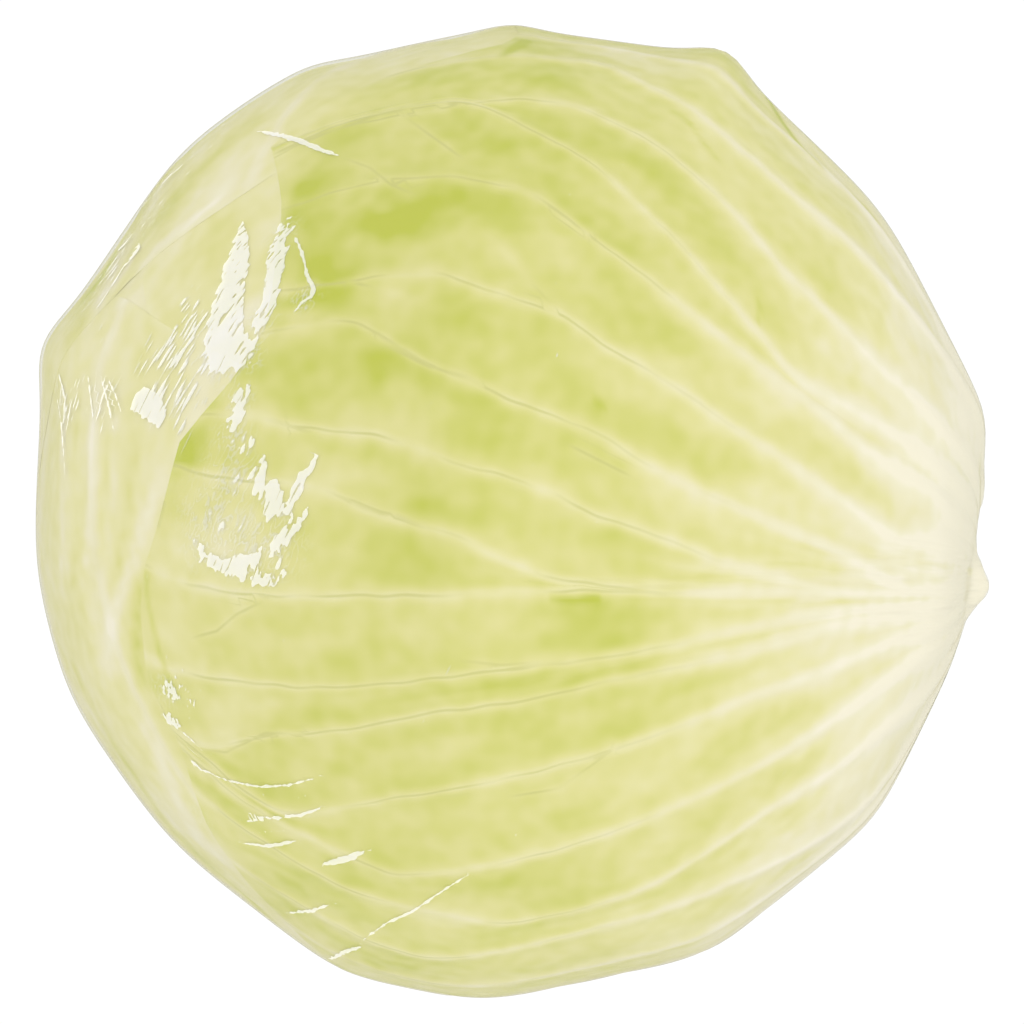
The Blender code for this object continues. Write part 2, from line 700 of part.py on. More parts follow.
def centre_on_origin(collection):
    """Slide the pieces so that the whole head's box stands centred over the origin."""
    corners = np.array([vertex.co for vertex in collection.objects["film_wrap"].data.vertices])
    middle = 0.5 * (corners.min(axis=0) + corners.max(axis=0))
    for built in collection.objects:
        for vertex in built.data.vertices:
            vertex.co.x -= middle[0]
            vertex.co.y -= middle[1]
    print("centre of the head", (-middle[0] / METRES, -middle[1] / METRES, FLOOR_DISTANCE))


def build():
    for old in list(bpy.data.objects):
        bpy.data.objects.remove(old, do_unlink=True)
    collection = bpy.data.collections.new("white_cabbage")
    bpy.context.scene.collection.children.link(collection)
    grids = [front_leaf_grid()] + [wrapper_leaf_grid(leaf) for leaf in WRAPPER_LEAVES]
    film_wrap(grids, collection)
    front_leaf(grids, collection)
    for number in range(1, len(grids)):
        wrapper_leaf(number, grids, collection)
    head(grids, collection)
    cut_stem(collection)
    for built in collection.objects:
        face_outward(built)
    centre_on_origin(collection)


build()
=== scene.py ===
"""White cabbage in clear film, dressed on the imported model's frame.

Every surface is the outer skin of the wrapped head, taken some depth further in, by the same
rules and named values as the solids. Lengths are in millimetres and angles in degrees until a
mesh is made.

Head frame: x to the right, y away from the viewer, z up the picture. The stem points right,
a little down and away. A place on the head is given by its angle from the stem and its azimuth
about it, 0 towards the viewer and 90 upwards, or by the photo's pixel that shows it.
"""

import math
from collections import namedtuple

import bpy
import numpy as np
from mathutils import Matrix


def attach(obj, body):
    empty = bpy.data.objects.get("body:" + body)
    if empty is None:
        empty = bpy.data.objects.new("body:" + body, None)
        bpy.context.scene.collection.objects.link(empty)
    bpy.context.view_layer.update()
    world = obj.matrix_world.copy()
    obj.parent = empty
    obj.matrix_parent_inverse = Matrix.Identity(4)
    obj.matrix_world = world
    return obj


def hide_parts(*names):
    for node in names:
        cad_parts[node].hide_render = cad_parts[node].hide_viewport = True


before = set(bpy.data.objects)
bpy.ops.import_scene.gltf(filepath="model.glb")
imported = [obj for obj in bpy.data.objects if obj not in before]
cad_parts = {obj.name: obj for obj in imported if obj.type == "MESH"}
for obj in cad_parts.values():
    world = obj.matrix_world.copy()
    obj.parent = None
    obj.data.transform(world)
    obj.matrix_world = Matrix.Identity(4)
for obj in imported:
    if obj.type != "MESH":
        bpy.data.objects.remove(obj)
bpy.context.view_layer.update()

METRES = 0.001

# Photo: millimetres per pixel at the head's centre, the pixel of that centre, camera distance
PHOTO_SCALE = 0.1764
PHOTO_CENTRE = (511.5, 510.0)
PHOTO_MIDDLE = 512.0
CAMERA_DISTANCE = 950.0
SENSOR_WIDTH = 36.0
SEEN_RADIUS = 84.0

# Size and stance of the whole head, as in the solids
BALL_RADIUS = 84.2
HEAD_PITCH = 12.0
FLOOR_DISTANCE = 82.6
HEAD_SHIFT = (-0.0763, 0.1007)
STEM_AWAY = 8.0
STEM_DOWN = 8.0

# Flats of the outline: direction in the picture, 0 to the right and 90 up, and distance. Then
# how far round they reach, and the number and spread of the softer flats all over
OUTLINE_FLATS = (
    (-6, 81.8), (27, 82.4), (46.5, 83.5), (82, 84.2), (102.5, 83.7), (125, 85.6), (146, 84.0),
    (177, 83.6), (195, 84.0), (215, 83.0), (232.5, 83.2), (258, 86.1), (282, 83.8),
    (309, 82.8), (334, 81.7),
)
OUTLINE_LATITUDE = 5.0
OUTLINE_REACH = 20.0
FILM_SHARPNESS = 60.0
LEAF_SHARPNESS = 36.0
OTHER_FLATS = 90
OTHER_FLAT_DISTANCE = 83.6
OTHER_FLAT_SPREAD = 0.7
OTHER_FLAT_SHARE = 0.35
OTHER_FLAT_TILT = 0.06
SEED = 11

# Corners of the film where it is drawn over an edge: direction, height, and spread in degrees
OUTLINE_CORNERS = ((65, 1.9, 4.0), (90, 0.9, 4.0), (160.5, 1.3, 5.0), (114, 0.5, 4.0))

# Bulges of the leaf stalks beside the stem, and the hollow that the stem stands in
STALK_ANGLE = 13.0
STALK_WIDTH = 3.4
FILM_STALK_WIDTH = 4.4
HOLLOW_DEPTH = 2.5
HOLLOW_START = 5.0
HOLLOW_END = 13.0

# Where the film dips past the front leaf's margin and from which angle on, where it loses its
# relief near the floor, and its opening over the stem
FILM_STEP_RISE = (-12.0, -2.0)
FILM_STEP_DROP = (0.0, -1.5)
FILM_STEP_FROM = (40.0, 60.0)
FILM_FLAT_NEAR_FLOOR = (6.0, 4.0)
FILM_OPENING = 6.2

# Front leaf: its blade, the ribs near the stem and far from it, and the mesh of the solids
FRONT_BLADE = 0.9
FRONT_RIB_NEAR = 2.6
FRONT_RIB_FAR = 1.0
FRONT_ROWS = 17
RIB_FADE_ANGLE = 60.0
FRONT_START = 11.0
RIB_HALF_WIDTH_NEAR = 3.0
RIB_HALF_WIDTH_FAR = 1.7
RIB_RISE_BEFORE = 6.0
RIB_RISE_AFTER = 2.0
ROW_CROWDING = 1.2

# Lines of the front leaf from one side to the other, the ribs between its two sides, as
# (angle from the stem, azimuth), and the number of the midrib among them
FRONT_MIDRIB = 10
FRONT_LINES = (
    ((10, 60), (35, 67), (55, 76), (75, 82), (100, 85)),
    ((10, 54), (50, 61), (70, 68), (90, 76)),
    ((10, 48), (50, 45), (65, 49), (80, 58), (90, 67)),
    ((10, 32), (39, 26), (54, 28), (68, 35), (80, 46), (94, 55)),
    ((10, 24), (40, 18), (66, 21), (77, 30), (91, 43), (107, 56)),
    ((10, 16), (30, 12), (55, 15), (75, 23), (89, 31), (98, 38), (107, 42)),
    ((10, 8), (49, 4), (68, 11), (83, 17), (96, 23), (108, 27), (119, 27)),
    ((45, -4), (56, 0), (77, 5), (94, 11), (106, 14), (118, 21)),
    ((58, -5), (76, -2), (97, 3), (111, 6), (130, 8)),
    ((82, -7), (91, -7), (104, -4), (120, -1)),
    ((10, -5), (65, -5), (98, -9), (120, -15), (139, -20)),
    ((40, -6), (62, -8), (90, -16), (112, -24), (124, -29), (138, -37)),
    ((30, -7), (55, -9), (86, -18), (103, -25), (121, -36), (129, -46)),
    ((10, -12), (44, -12), (68, -19), (90, -30), (106, -38), (117, -47)),
    ((10, -20), (39, -17), (62, -28), (81, -38), (102, -49)),
    ((10, -30), (44, -30), (60, -37), (73, -47), (89, -55)),
    ((10, -40), (42, -50), (63, -51), (77, -55), (95, -66)),
    ((10, -47), (42, -60), (70, -66), (95, -76)),
    ((10, -54), (40, -73), (70, -81), (92, -88)),
    ((10, -60), (40, -84), (70, -94), (90, -99)),
    ((10, -66), (40, -92), (70, -105), (95, -108)),
)

# Where the front leaf ends: azimuth and angle from the stem
FRONT_MARGIN = (
    (-110, 78), (-103, 89), (-95, 97), (-86, 103), (-79, 108), (-73, 116), (-65, 122),
    (-58, 127), (-49, 131), (-42, 138), (-31, 141), (-19, 142), (-7, 140), (4, 139), (12, 134),
    (20, 129), (41, 128), (60, 130), (66, 118), (72, 99), (90, 98),
)

# Least space between lines that run together, in millimetres, and angles over which it grows
LINE_SPACING_NEAR = 1.5
LINE_SPACING_FAR = 2.4
LINE_SPACING_GROWS = (10.0, 50.0)

# Leaves under the front leaf, uppermost first: azimuth and angle from the stem of each one's
# middle, its reach from there to its tip and to its base, and the angle at which it starts
WrapperLeaf = namedtuple("WrapperLeaf", "node azimuth middle to_tip to_base start")
WRAPPER_LEAVES = (
    WrapperLeaf("leaf_upper_back", 137.5, 80.0, 104.0, 66.0, 11.5),
    WrapperLeaf("leaf_lower", -85.0, 95.0, 102.0, 76.0, 12.0),
    WrapperLeaf("leaf_upper_front", 52.5, 78.0, 72.0, 70.0, 12.4),
    WrapperLeaf("leaf_back", -170.0, 80.0, 78.0, 72.0, 12.8),
)

# Their blades, their ribs, and the waves of their edges, as (number round the leaf, height)
WRAPPER_BLADE = 0.8
WRAPPER_RIB_NEAR = 1.2
WRAPPER_RIB_FAR = 0.3
WRAPPER_RIBS = 11
WRAPPER_ROWS = 17
WRAPPER_WAVE = 1.6
WRAPPER_WAVES = ((5.0, 1.0), (9.0, 0.6))
WRAPPER_WAVES_FROM = 0.3

# How their ribs fan out from the stem to the edge
WRAPPER_ROW_BEND = 1.35
STALK_SPREAD = 52.0
FAN_SPREAD = 148.0
FAN_CROWDING = 0.2

# Stalk bulges: azimuth and height
STALKS = ((-5, 3.3), (137.5, 2.0), (-85, 1.0), (52.5, 0.8), (-170, 1.6))

# Cut stem, on its flat seat on the inner head
SEAT_DISTANCE = 70.5
STEM_GAP = 0.4
STEM_RADIUS = 14.2
STEM_LENGTH = 7.0

# Dressed leaves and film: the real film is thin, and the leaves thin out to their margins
FILM_CLEAR = 0.15
LEAF_CLEAR = 0.1
MARGIN_CLEARANCE = 0.01
MARGIN_THICKNESS = 0.02
MARGIN_TAPER = 16.0
FRONT_SHOWN_START = 9.8
WRAPPER_SHOWN_START = 9.8
GROWS_FROM = 3.0
MARGIN_DROP = (-10.0, -2.0)
RIB_SHOWN_SHARE = 0.26
FILM_SHOWN_SHARE = 0.16
RIB_WANDER = ((0.30, 0.33, 0.0, 0.40), (0.93, -0.37, 1.0, 0.12), (1.7, 0.5, 2.0, 0.05))
FILM_SHOWN_STEP = 0.05

# Where the ribs wander and where dark threads run along them: angles from the stem, from none
# to full
WANDER_FROM = (60.0, 95.0)
THREADS_FROM = (68.0, 95.0)
WRAPPER_THREADS_FROM = (70.0, 110.0)
WRAPPER_THREADS = 0.2

# How far from a line its thread may reach, and where it is full, and how much further away a
# rib counts where it hasn't grown yet
LINE_REACH = 2.5
LINE_CORE = 1.5
YOUNG_RIB_HANDICAP = 8.0

# The ribs of the wrapper leaves and the inner head, and the front leaf's fine veins
WRAPPER_RIB_PALENESS = 0.3
FINE_VEIN_PALENESS = 0.16
FINE_VEIN_WIDTH = 1.0
INNER_RIBS = 18
INNER_RIB_SWAY = 25.0
INNER_RIB_SWAYS = 3.0
INNER_RIB_SPACING = 12.0
INNER_RIB_PALENESS = 0.1
INNER_RELIEF = 0.35

# Part of a line's length over which it fades out at each end
STREAK_ENDS = 0.15
BAND_ENDS = 0.2
FINE_VEIN_ENDS = 0.3

# Fineness of the dressed meshes: parts of each of the solids' columns, and rows
FRONT_COLUMN_PARTS = 9
FRONT_FINE_ROWS = 237
WRAPPER_COLUMN_PARTS = 8
WRAPPER_FINE_ROWS = 153
HEAD_FINE_RINGS = 160
HEAD_FINE_SEGMENTS = 240
INNER_STEP = 4
LINE_SOFTENING = 30
BORDER_PARTS = 6

# Points of a border that are compared at once, how far beyond a line it is still measured, in
# radians, and the least downward part of a direction that may meet the surface below
BORDER_BLOCK = 64
PATH_REACH = 0.15
LEAST_DOWNWARD = 1e-3

# Angles from the stem at which the leaves' lines are worked out
SCAN = np.arange(FILM_OPENING, 179.0, 0.25)

# A distance beyond all that is measured
FAR = 99.0

# Film's mesh, finer where it is crumpled: (azimuth, columns so far) and (angle, rows so far)
FILM_COLUMNS = ((-75, 0), (75, 176), (180, 218), (285, 262))
FILM_ROWS = ((6.2, 0), (14, 10), (90, 62), (100, 74), (160, 162), (176, 180))
FILM_SHOWN_THICKNESS = 0.08

# How far creases and taut patches are measured, and how far round from the viewer there are
# patches
CREASE_REACH = 2.4
TAUT_REACH = 20.0
TAUT_TO = 0.15

# Pleats of the film's gathered end
PLEATS = 38
PLEAT_HEIGHT = 0.7
PLEATS_TO = (16.0, 6.0)
PLEAT_SWAY = 0.08
PLEAT_SWAYS = 3.0

# Where the film's shading normal is bent so that it doesn't mirror the soft light outside the
# painted highlights: limits of x and of y of the unit directions, each from full to none
SLACK_X = (-0.2, 0.05)
SLACK_Y = (0.6, 0.9)

# Cut stem: its rounded rim, its hollowed face with the knife's marks, and its fibre bundles.
# The innermost rings are the hidden end's and the face's
STEM_EDGE = 1.2
STEM_TAPER = 0.4
STEM_HOLLOW = 0.5
STEM_SEGMENTS = 96
STEM_ROUNDING = 5
STEM_FACE_RINGS = 22
STEM_HIDDEN_RINGS = 6
STEM_INNERMOST_RINGS = (1.0, 0.5)
STEM_FLUTES = 21
STEM_FLUTE_DEPTH = 0.18
STEM_FLUTES_FROM = (1.4, 0.6)
CUT_MARKS = 0.12
CUT_MARKS_FROM = (0.9, 0.3)
CUT_MARKS_RIM = 2.0
KNIFE_TURN = 0.4
KNIFE_MARKS_PER_MM = 2.3
KNIFE_SWAY = (0.6, 0.5)
BUNDLES = 34
BUNDLE_RING = 9.6
BUNDLE_SIZE = (0.5, 0.85, 0.16)
BUNDLE_SHIFT = 0.6
BUNDLE_SPREAD = (0.75, 1.15)

# Faces that meet at more than this stay crisp, such as a leaf's cut edge
CRISP_ANGLE = math.radians(50.0)

# Colours of the leaves from their palest to their greenest
LEAF_COLOURS = (
    (0.0, "#f4eed6"), (0.13, "#efeaca"), (0.35, "#ebe5bc"), (0.57, "#e6e1a5"),
    (0.78, "#dfdb8f"), (1.0, "#d6d578"), (1.4, "#bfc632"),
)
GREENEST = LEAF_COLOURS[-1][0]
PALE = "#ebe7b8"
LINE_GREEN = "#c6c571"

# Millimetres that one unit of the leaves' flow map stands for, how far apart the ribs lie on
# it, and its units for each radian on the inner head
FLOW_UNIT = 100.0
FRONT_FLOW_STEP = 0.09
WRAPPER_FLOW_STEP = 0.12
INNER_FLOW = (0.5, 0.8)

# Grain sizes of the patterns in millimetres, from how many grains there are in 10 mm. The
# film's own flecks and streaks are finer than the picture shows, so they are drawn as coarse as
# they need to be seen.
BLOTCH_SIZE = 10.0 / 1.45
LEAF_FLECK_SIZE = 10.0 / 3.3
FILM_FLECK_SIZE = 10.0 / 9.0
FILM_STREAK_SIZE = 10.0 / 19.0
PITH_PORE_SIZE = 10.0 / 11.0
PITH_CLOUD_SIZE = 10.0 / 1.6
FIBRE_GRAIN_SIZE = 10.0 / 9.0

# Scale of the leaves' blotches along the ribs, as a share of the scale across them
BLOTCH_ALONG = 0.36

# How many times longer than wide the film's flecks and streaks are, and how many degrees they
# lean from upright
FLECK_STRETCH = 2.6
STREAK_STRETCH = 14.0
STREAK_LEAN = 26.0

# A leaf's skin: how far its blotches stand out, how far from a line and from the margin their
# colours fade out, how dark a thread is, and how strong the flecks are beside the blotches
LEAF_BUMP = 0.4
THREAD_FADES = (0.05, 0.42)
MARGIN_FADES = (0.3, 2.2)
THREAD_DARKNESS = 0.62
FLECK_SHARE = 0.35

# Levels of the blotches between which a rib's band goes from weak to strong, and its strengths
# there, and levels between which threads come out
RAGGED_LEVELS = (0.3, 0.7)
RAGGED_SHARES = (0.75, 1.25)
THREADS_SHOWN = (0.36, 0.54)
LEAF_IOR = 1.42
LEAF_ROUGHNESS = (0.38, 0.55)

# Colours of the cut stem from its middle to its rim, and of its fibres
STEM_COLOURS = (
    (0.0, "#f1ecd6"), (0.5, "#efe9cf"), (0.62, "#dfdca6"), (0.72, "#ebe5c4"),
    (0.88, "#e6dcb4"), (0.97, "#c3a878"),
)
FIBRE_COLOURS = ((0.3, "#cfcf98"), (0.5, "#dcdab0"), (0.7, "#e8e3c2"))

# Where those colours lie on the stem, how far clouds shift them, and how deep pores, clouds
# and fibres are, in millimetres
STEM_SPAN = (1.0, 16.0)
CLOUD_SHIFT = 2.2
PORE_DEPTH = 0.08
CLOUD_DEPTH = 0.25
FIBRE_DEPTH = 0.1
PITH_IOR = 1.4
PITH_ROUGHNESS = (0.35, 0.6)
FIBRE_ROUGHNESS = 0.5

# How the film's shading normal leans away from the soft light near its mirror place, and how
# far it turns to face the light in the painted highlights
LEAN = 0.82
LEAN_TOWARD = (0.30, -0.93, 0.20)
TURN_TO_LIGHT = 0.88

# How far the edges of the painted highlight patches are torn by the flecks, in millimetres, how
# much further where the film is crumpled, and how far the edges of the crease highlights are
TORN_EDGE = 1.7
TORN_WHERE_CRUMPLED = 4.0
CREASE_TORN = 0.9

# How soft the edges of the painted highlight patches and creases are, in millimetres
TAUT_EDGE = (-0.04, 0.06)
CREASE_EDGE = (-0.03, 0.07)

# Levels of the streaks between which their holes in the painted highlight patches close, and
# distances from the flecks' middle level between which the painted bright lines of crumpled film
# fade, and their strength
HOLES_CLOSE = (0.24, 0.34)
BRIGHT_LINES = (0.01, 0.045)
BRIGHT_LINES_MIRROR = 0.8

# How much crumpled and streaky places raise their pattern, the level from which it shows as
# painted highlight, and over how much it comes out
FLECKS_SHOWN = (0.26, 0.82)
STREAKS_SHOWN = (0.42, 0.86)
SHOWN_OVER = 0.12

# How much the film mirrors straight on, how much more along its skin, and how much more in its
# painted highlights; and its colours seen straight through, at a slant and along its skin, which
# darken towards the outline partly as painted shade
FILM_ROUGHNESS = 0.04
FILM_MIRRORED = 0.05
FILM_MIRRORED_ALONG = 0.06
PAINTED_HIGHLIGHT_SHARE = 0.37
# These colours darken the film towards the outline: partly its own faint tint, partly painted
# shade.
FILM_TINTS_AND_RIM_SHADE = ((0.58, "#fdfdfc"), (0.88, "#f1f1ec"), (1.0, "#dedccb"))

# Light table, white surround, and the two lights, in metres
WHITE = (1.0, 1.0, 1.0, 1.0)
FLOOR_SIZE = 8.0
FLOOR_GLOW = 1.03
WORLD_STRENGTH = 1.03
FILL_RADIANCE = 0.95
FILL_SIZE = (1.6, 0.35)
FILL_PLACE = (0.45, -1.15, 0.19)
SOFT_LIGHT_SIZE = (0.42, 1.25)
SOFT_LIGHT_DISTANCE = 1.0
SOFT_LIGHT_TOWARD = (-0.83, -0.20, 0.38)
SOFT_LIGHT_LONG_AXIS = (0.04, 0.60, 0.55)
SOFT_LIGHT_RADIANCE = 0.46


def unit(vectors):
    """Vectors made one long."""
    return vectors / np.linalg.norm(vectors, axis=-1, keepdims=True)


def smooth(low, high, value):
    """0 up to low and 1 from high on, with a soft rise between."""
    step = np.clip((value - low) / (high - low), 0.0, 1.0)
    return step * step * (3.0 - 2.0 * step)


def from_table(table, place, column=1):
    """A value read between the rows of a table, whose first column is the place."""
    points = np.array(table, dtype=float)
    return np.interp(place, points[:, 0], points[:, column])


def fading_ends(share, part):
    """1 along the middle of a line, and none at its ends, fading over this part of it."""
    return smooth(0.0, part, share) * smooth(1.0, 1.0 - part, share)


def inside_loop(x, y, loop_x, loop_y):
    """Whether each point of a plane lies inside a closed loop."""
    inside = np.zeros(x.shape, dtype=bool)
    for index in range(len(loop_x)):
        x1, y1 = loop_x[index - 1], loop_y[index - 1]
        x2, y2 = loop_x[index], loop_y[index]
        if y1 == y2:
            continue
        crosses = (y1 > y) != (y2 > y)
        inside ^= crosses & (x < (x2 - x1) * (y - y1) / (y2 - y1) + x1)
    return inside


def rim(grid):
    """The border of a grid, once round."""
    return np.concatenate([grid[0, :-1], grid[:-1, -1], grid[-1, :0:-1], grid[:0:-1, 0]])


def stem_axes():
    """The stem's axis, and the two directions across it, towards the viewer and upwards."""
    away = math.radians(STEM_AWAY)
    down = math.radians(STEM_DOWN)
    axis = np.array([
        math.cos(away) * math.cos(down),
        math.sin(away) * math.cos(down),
        -math.sin(down),
    ])
    viewer = np.array([0.0, -1.0, 0.0])
    front = unit(viewer - axis * np.dot(viewer, axis))
    upper = np.cross(front, axis)
    return axis, front, upper


STEM, FRONT, UPPER = stem_axes()


def from_stem(angle, azimuth):
    """Unit directions at these angles from the stem and azimuths about it."""
    angle = np.radians(angle)[..., None]
    azimuth = np.radians(azimuth)[..., None]
    across = np.cos(azimuth) * FRONT + np.sin(azimuth) * UPPER
    return np.cos(angle) * STEM + np.sin(angle) * across


def to_stem(directions):
    """Angle from the stem and azimuth about it of unit directions."""
    angle = np.degrees(np.arccos(np.clip(directions @ STEM, -1.0, 1.0)))
    azimuth = np.degrees(np.arctan2(directions @ UPPER, directions @ FRONT))
    return angle, azimuth


def flats_of_the_head():
    """Normals and distances of the skin's flats: the outline's, then softer ones all over."""
    generator = np.random.default_rng(SEED)
    latitude = math.radians(OUTLINE_LATITUDE)
    outline = []
    for direction, distance in OUTLINE_FLATS:
        turn = math.radians(direction)
        normal = (
            math.cos(turn) * math.cos(latitude),
            -math.sin(latitude),
            math.sin(turn) * math.cos(latitude),
        )
        outline.append((np.array(normal), distance))
    others = []
    golden = math.pi * (3.0 - math.sqrt(5.0))
    for index in range(OTHER_FLATS):
        depth = 1.0 - 2.0 * (index + 0.5) / OTHER_FLATS
        ring = math.sqrt(1.0 - depth * depth)
        turn = golden * index
        normal = np.array([ring * math.cos(turn), depth, ring * math.sin(turn)])
        normal = unit(normal + generator.normal(0.0, OTHER_FLAT_TILT, 3))
        distance = OTHER_FLAT_DISTANCE + generator.normal(0.0, OTHER_FLAT_SPREAD)
        others.append((normal, distance))
    return outline, others


OUTLINE_PLANES, OTHER_PLANES = flats_of_the_head()


def rounded_solid(directions, planes, sharpness):
    """Radius of a many-sided solid whose corners are rounded."""
    total = np.zeros(directions.shape[:-1])
    for normal, distance in planes:
        total += (np.maximum(directions @ normal, 0.0) / distance) ** sharpness
    return total ** (-1.0 / sharpness)


def arc_gap(first, second):
    """Signed turn in degrees from one angle to another."""
    return (first - second + 180.0) % 360.0 - 180.0


def stalk_bulge(directions, azimuth, height, width):
    """A leaf stalk's bulge beside the cut stem."""
    middle = from_stem(np.array(STALK_ANGLE), np.array(azimuth))
    distance = BALL_RADIUS * np.linalg.norm(directions - middle, axis=-1)
    return height * np.exp(-(distance / width) ** 2)


def skin_radius(directions, film=False):
    """Radius of the head's skin before it is flattened by the surface it lies on."""
    sharpness = FILM_SHARPNESS if film else LEAF_SHARPNESS
    stalk_width = FILM_STALK_WIDTH if film else STALK_WIDTH
    turn = np.degrees(np.arctan2(directions[..., 2], directions[..., 0]))
    latitude = np.degrees(np.arcsin(np.clip(-directions[..., 1], -1.0, 1.0)))
    at_outline = np.exp(-((latitude - OUTLINE_LATITUDE) / OUTLINE_REACH) ** 2)
    level = unit(np.stack([
        directions[..., 0],
        np.full_like(turn, -math.tan(math.radians(OUTLINE_LATITUDE)))
        * np.hypot(directions[..., 0], directions[..., 2]),
        directions[..., 2],
    ], axis=-1))
    outline = rounded_solid(level, OUTLINE_PLANES, sharpness)
    if film:
        for direction, height, width in OUTLINE_CORNERS:
            outline = outline + height * np.exp(-(arc_gap(turn, direction) / width) ** 2)
    elsewhere = (1.0 - OTHER_FLAT_SHARE) * BALL_RADIUS
    elsewhere = elsewhere + OTHER_FLAT_SHARE * rounded_solid(directions, OTHER_PLANES, sharpness)
    radius = elsewhere + at_outline * (outline - elsewhere)
    for azimuth, height in STALKS:
        radius = radius + stalk_bulge(directions, azimuth, height, stalk_width)
    angle, _ = to_stem(directions)
    return radius - HOLLOW_DEPTH * (1.0 - smooth(HOLLOW_START, HOLLOW_END, angle))


def downward(directions):
    """How far each direction points down in the world, 1 straight down."""
    pitch = math.radians(HEAD_PITCH)
    return directions[..., 1] * math.sin(pitch) - directions[..., 2] * math.cos(pitch)


def rested(directions, radius):
    """A radius, cut flat where the head lies on the surface."""
    return np.minimum(radius, FLOOR_DISTANCE / np.maximum(downward(directions), LEAST_DOWNWARD))


def resting_radius(directions, film=False):
    """The skin's radius, with the flat spot that the head lies on."""
    return rested(directions, skin_radius(directions, film))


def line_azimuth(index, angle):
    """Azimuth of one line of the front leaf."""
    return from_table(FRONT_LINES[index], angle)


def rib_height(angle, near, far):
    """How high the ribs stand, from near the stem to far from it."""
    return far + (near - far) * np.exp(-angle / RIB_FADE_ANGLE)


def rib_width(angle):
    """Half width of the ribs at an angle from the stem."""
    fade = np.exp(-angle / RIB_FADE_ANGLE)
    return RIB_HALF_WIDTH_FAR + (RIB_HALF_WIDTH_NEAR - RIB_HALF_WIDTH_FAR) * fade


def degree_length(angle):
    """Length in millimetres of one degree of azimuth, at an angle from the stem."""
    return BALL_RADIUS * np.sin(np.radians(angle)) * math.pi / 180.0


def wandering(angle, azimuth):
    """Azimuths shifted a little to and fro, so that the ribs wander as grown ones do."""
    shift = 0.0
    for by_angle, by_azimuth, phase, size in RIB_WANDER:
        shift = shift + size * np.sin(by_angle * angle + by_azimuth * azimuth + phase)
    return azimuth + shift * smooth(*WANDER_FROM, angle) / degree_length(angle)


def rib_distances(angle, azimuth):
    """For each rib of the front leaf, the signed distance to it and how grown it is there."""
    azimuth = wandering(angle, azimuth)
    degree = degree_length(angle)
    for index in range(1, len(FRONT_LINES) - 1):
        first = FRONT_LINES[index][0][0]
        grown = smooth(first - RIB_RISE_BEFORE, first + RIB_RISE_AFTER, angle)
        line = np.interp(angle, SCAN, LINE_TABLE[:, index])
        yield (azimuth - line) * degree, grown


def rib_share(angle, azimuth, width):
    """How much of a rib of the front leaf there is at each place, for ribs of a half width."""
    share = np.zeros(angle.shape)
    for distance, grown in rib_distances(angle, azimuth):
        share = np.maximum(share, grown * np.exp(-(distance / width) ** 2))
    return share


def rib_gap(angle, azimuth):
    """Signed distance to the nearest rib of the front leaf, and how grown that rib is."""
    gap = np.full(angle.shape, FAR)
    most = np.zeros(angle.shape)
    for distance, grown in rib_distances(angle, azimuth):
        nearer = np.abs(distance) + YOUNG_RIB_HANDICAP * (1.0 - grown) < np.abs(gap)
        gap = np.where(nearer, distance, gap)
        most = np.where(nearer, grown, most)
    return gap, most


def front_ridges(angle, azimuth):
    """How much of a rib there is at a place on the front leaf, 0 in the blade and 1 on a rib."""
    return rib_share(angle, azimuth, rib_width(angle))


def front_columns(angle):
    """Azimuths of the solids' mesh columns at one angle: each line, and one midway."""
    lines = [float(line_azimuth(index, angle)) for index in range(len(FRONT_LINES))]
    far = smooth(*LINE_SPACING_GROWS, angle)
    spacing = LINE_SPACING_NEAR + (LINE_SPACING_FAR - LINE_SPACING_NEAR) * far
    step = spacing / degree_length(angle)
    for index in range(FRONT_MIDRIB - 1, -1, -1):
        lines[index] = max(lines[index], lines[index + 1] + step)
    for index in range(FRONT_MIDRIB + 1, len(lines)):
        lines[index] = min(lines[index], lines[index - 1] - step)
    columns = []
    for first, second in zip(lines, lines[1:]):
        columns.append(first)
        columns.append(0.5 * (first + second))
    columns.append(lines[-1])
    return np.array(columns)


def softened(table):
    """The lines with their corners rounded, as a leaf's veins bend."""
    window = np.hanning(LINE_SOFTENING + 3)[1:-1]
    window = window / window.sum()
    half = len(window) // 2
    padded = np.pad(table, ((half, half), (0, 0)), mode="edge")
    return np.stack([np.convolve(line, window, mode="valid") for line in padded.T], axis=1)


def line_table():
    """Azimuths of the softened lines at closely spaced angles from the stem."""
    lines = [line_azimuth(index, SCAN) for index in range(len(FRONT_LINES))]
    return softened(np.stack(lines, axis=1))


LINE_TABLE = line_table()


def front_fan(fine):
    """Azimuths of the front leaf's columns at closely spaced angles, and where each ends."""
    table = np.array([front_columns(angle) for angle in SCAN])
    if fine:
        table = softened(table)
    ends = []
    for column in range(table.shape[1]):
        outside = SCAN > from_table(FRONT_MARGIN, table[:, column])
        ends.append(SCAN[np.argmax(outside)])
    return table, np.array(ends)


def front_leaf_grid(parts=1, rows=FRONT_ROWS, start=FRONT_START):
    """Directions of the front leaf's mesh, and each column's place among the lines."""
    table, ends = front_fan(parts > 1)
    coarse = np.arange(table.shape[1])
    fine = np.linspace(0.0, coarse[-1], coarse[-1] * parts + 1)
    table = np.stack([np.interp(fine, coarse, row) for row in table])
    ends = np.interp(fine, coarse, ends)
    steps = np.linspace(0.0, 1.0, rows) ** ROW_CROWDING
    angle = start + steps[:, None] * (ends[None, :] - start)
    azimuth = np.empty_like(angle)
    for column in range(angle.shape[1]):
        azimuth[:, column] = np.interp(angle[:, column], SCAN, table[:, column])
    return from_stem(angle, azimuth), 0.5 * fine


def wrapper_axes(leaf):
    """Middle of a wrapper leaf, and its directions away from the stem and across."""
    across = math.radians(leaf.azimuth)
    side = math.cos(across) * FRONT + math.sin(across) * UPPER
    reach = math.radians(leaf.middle)
    middle = math.cos(reach) * STEM + math.sin(reach) * side
    outward = -math.sin(reach) * STEM + math.cos(reach) * side
    return middle, outward, np.cross(outward, middle)


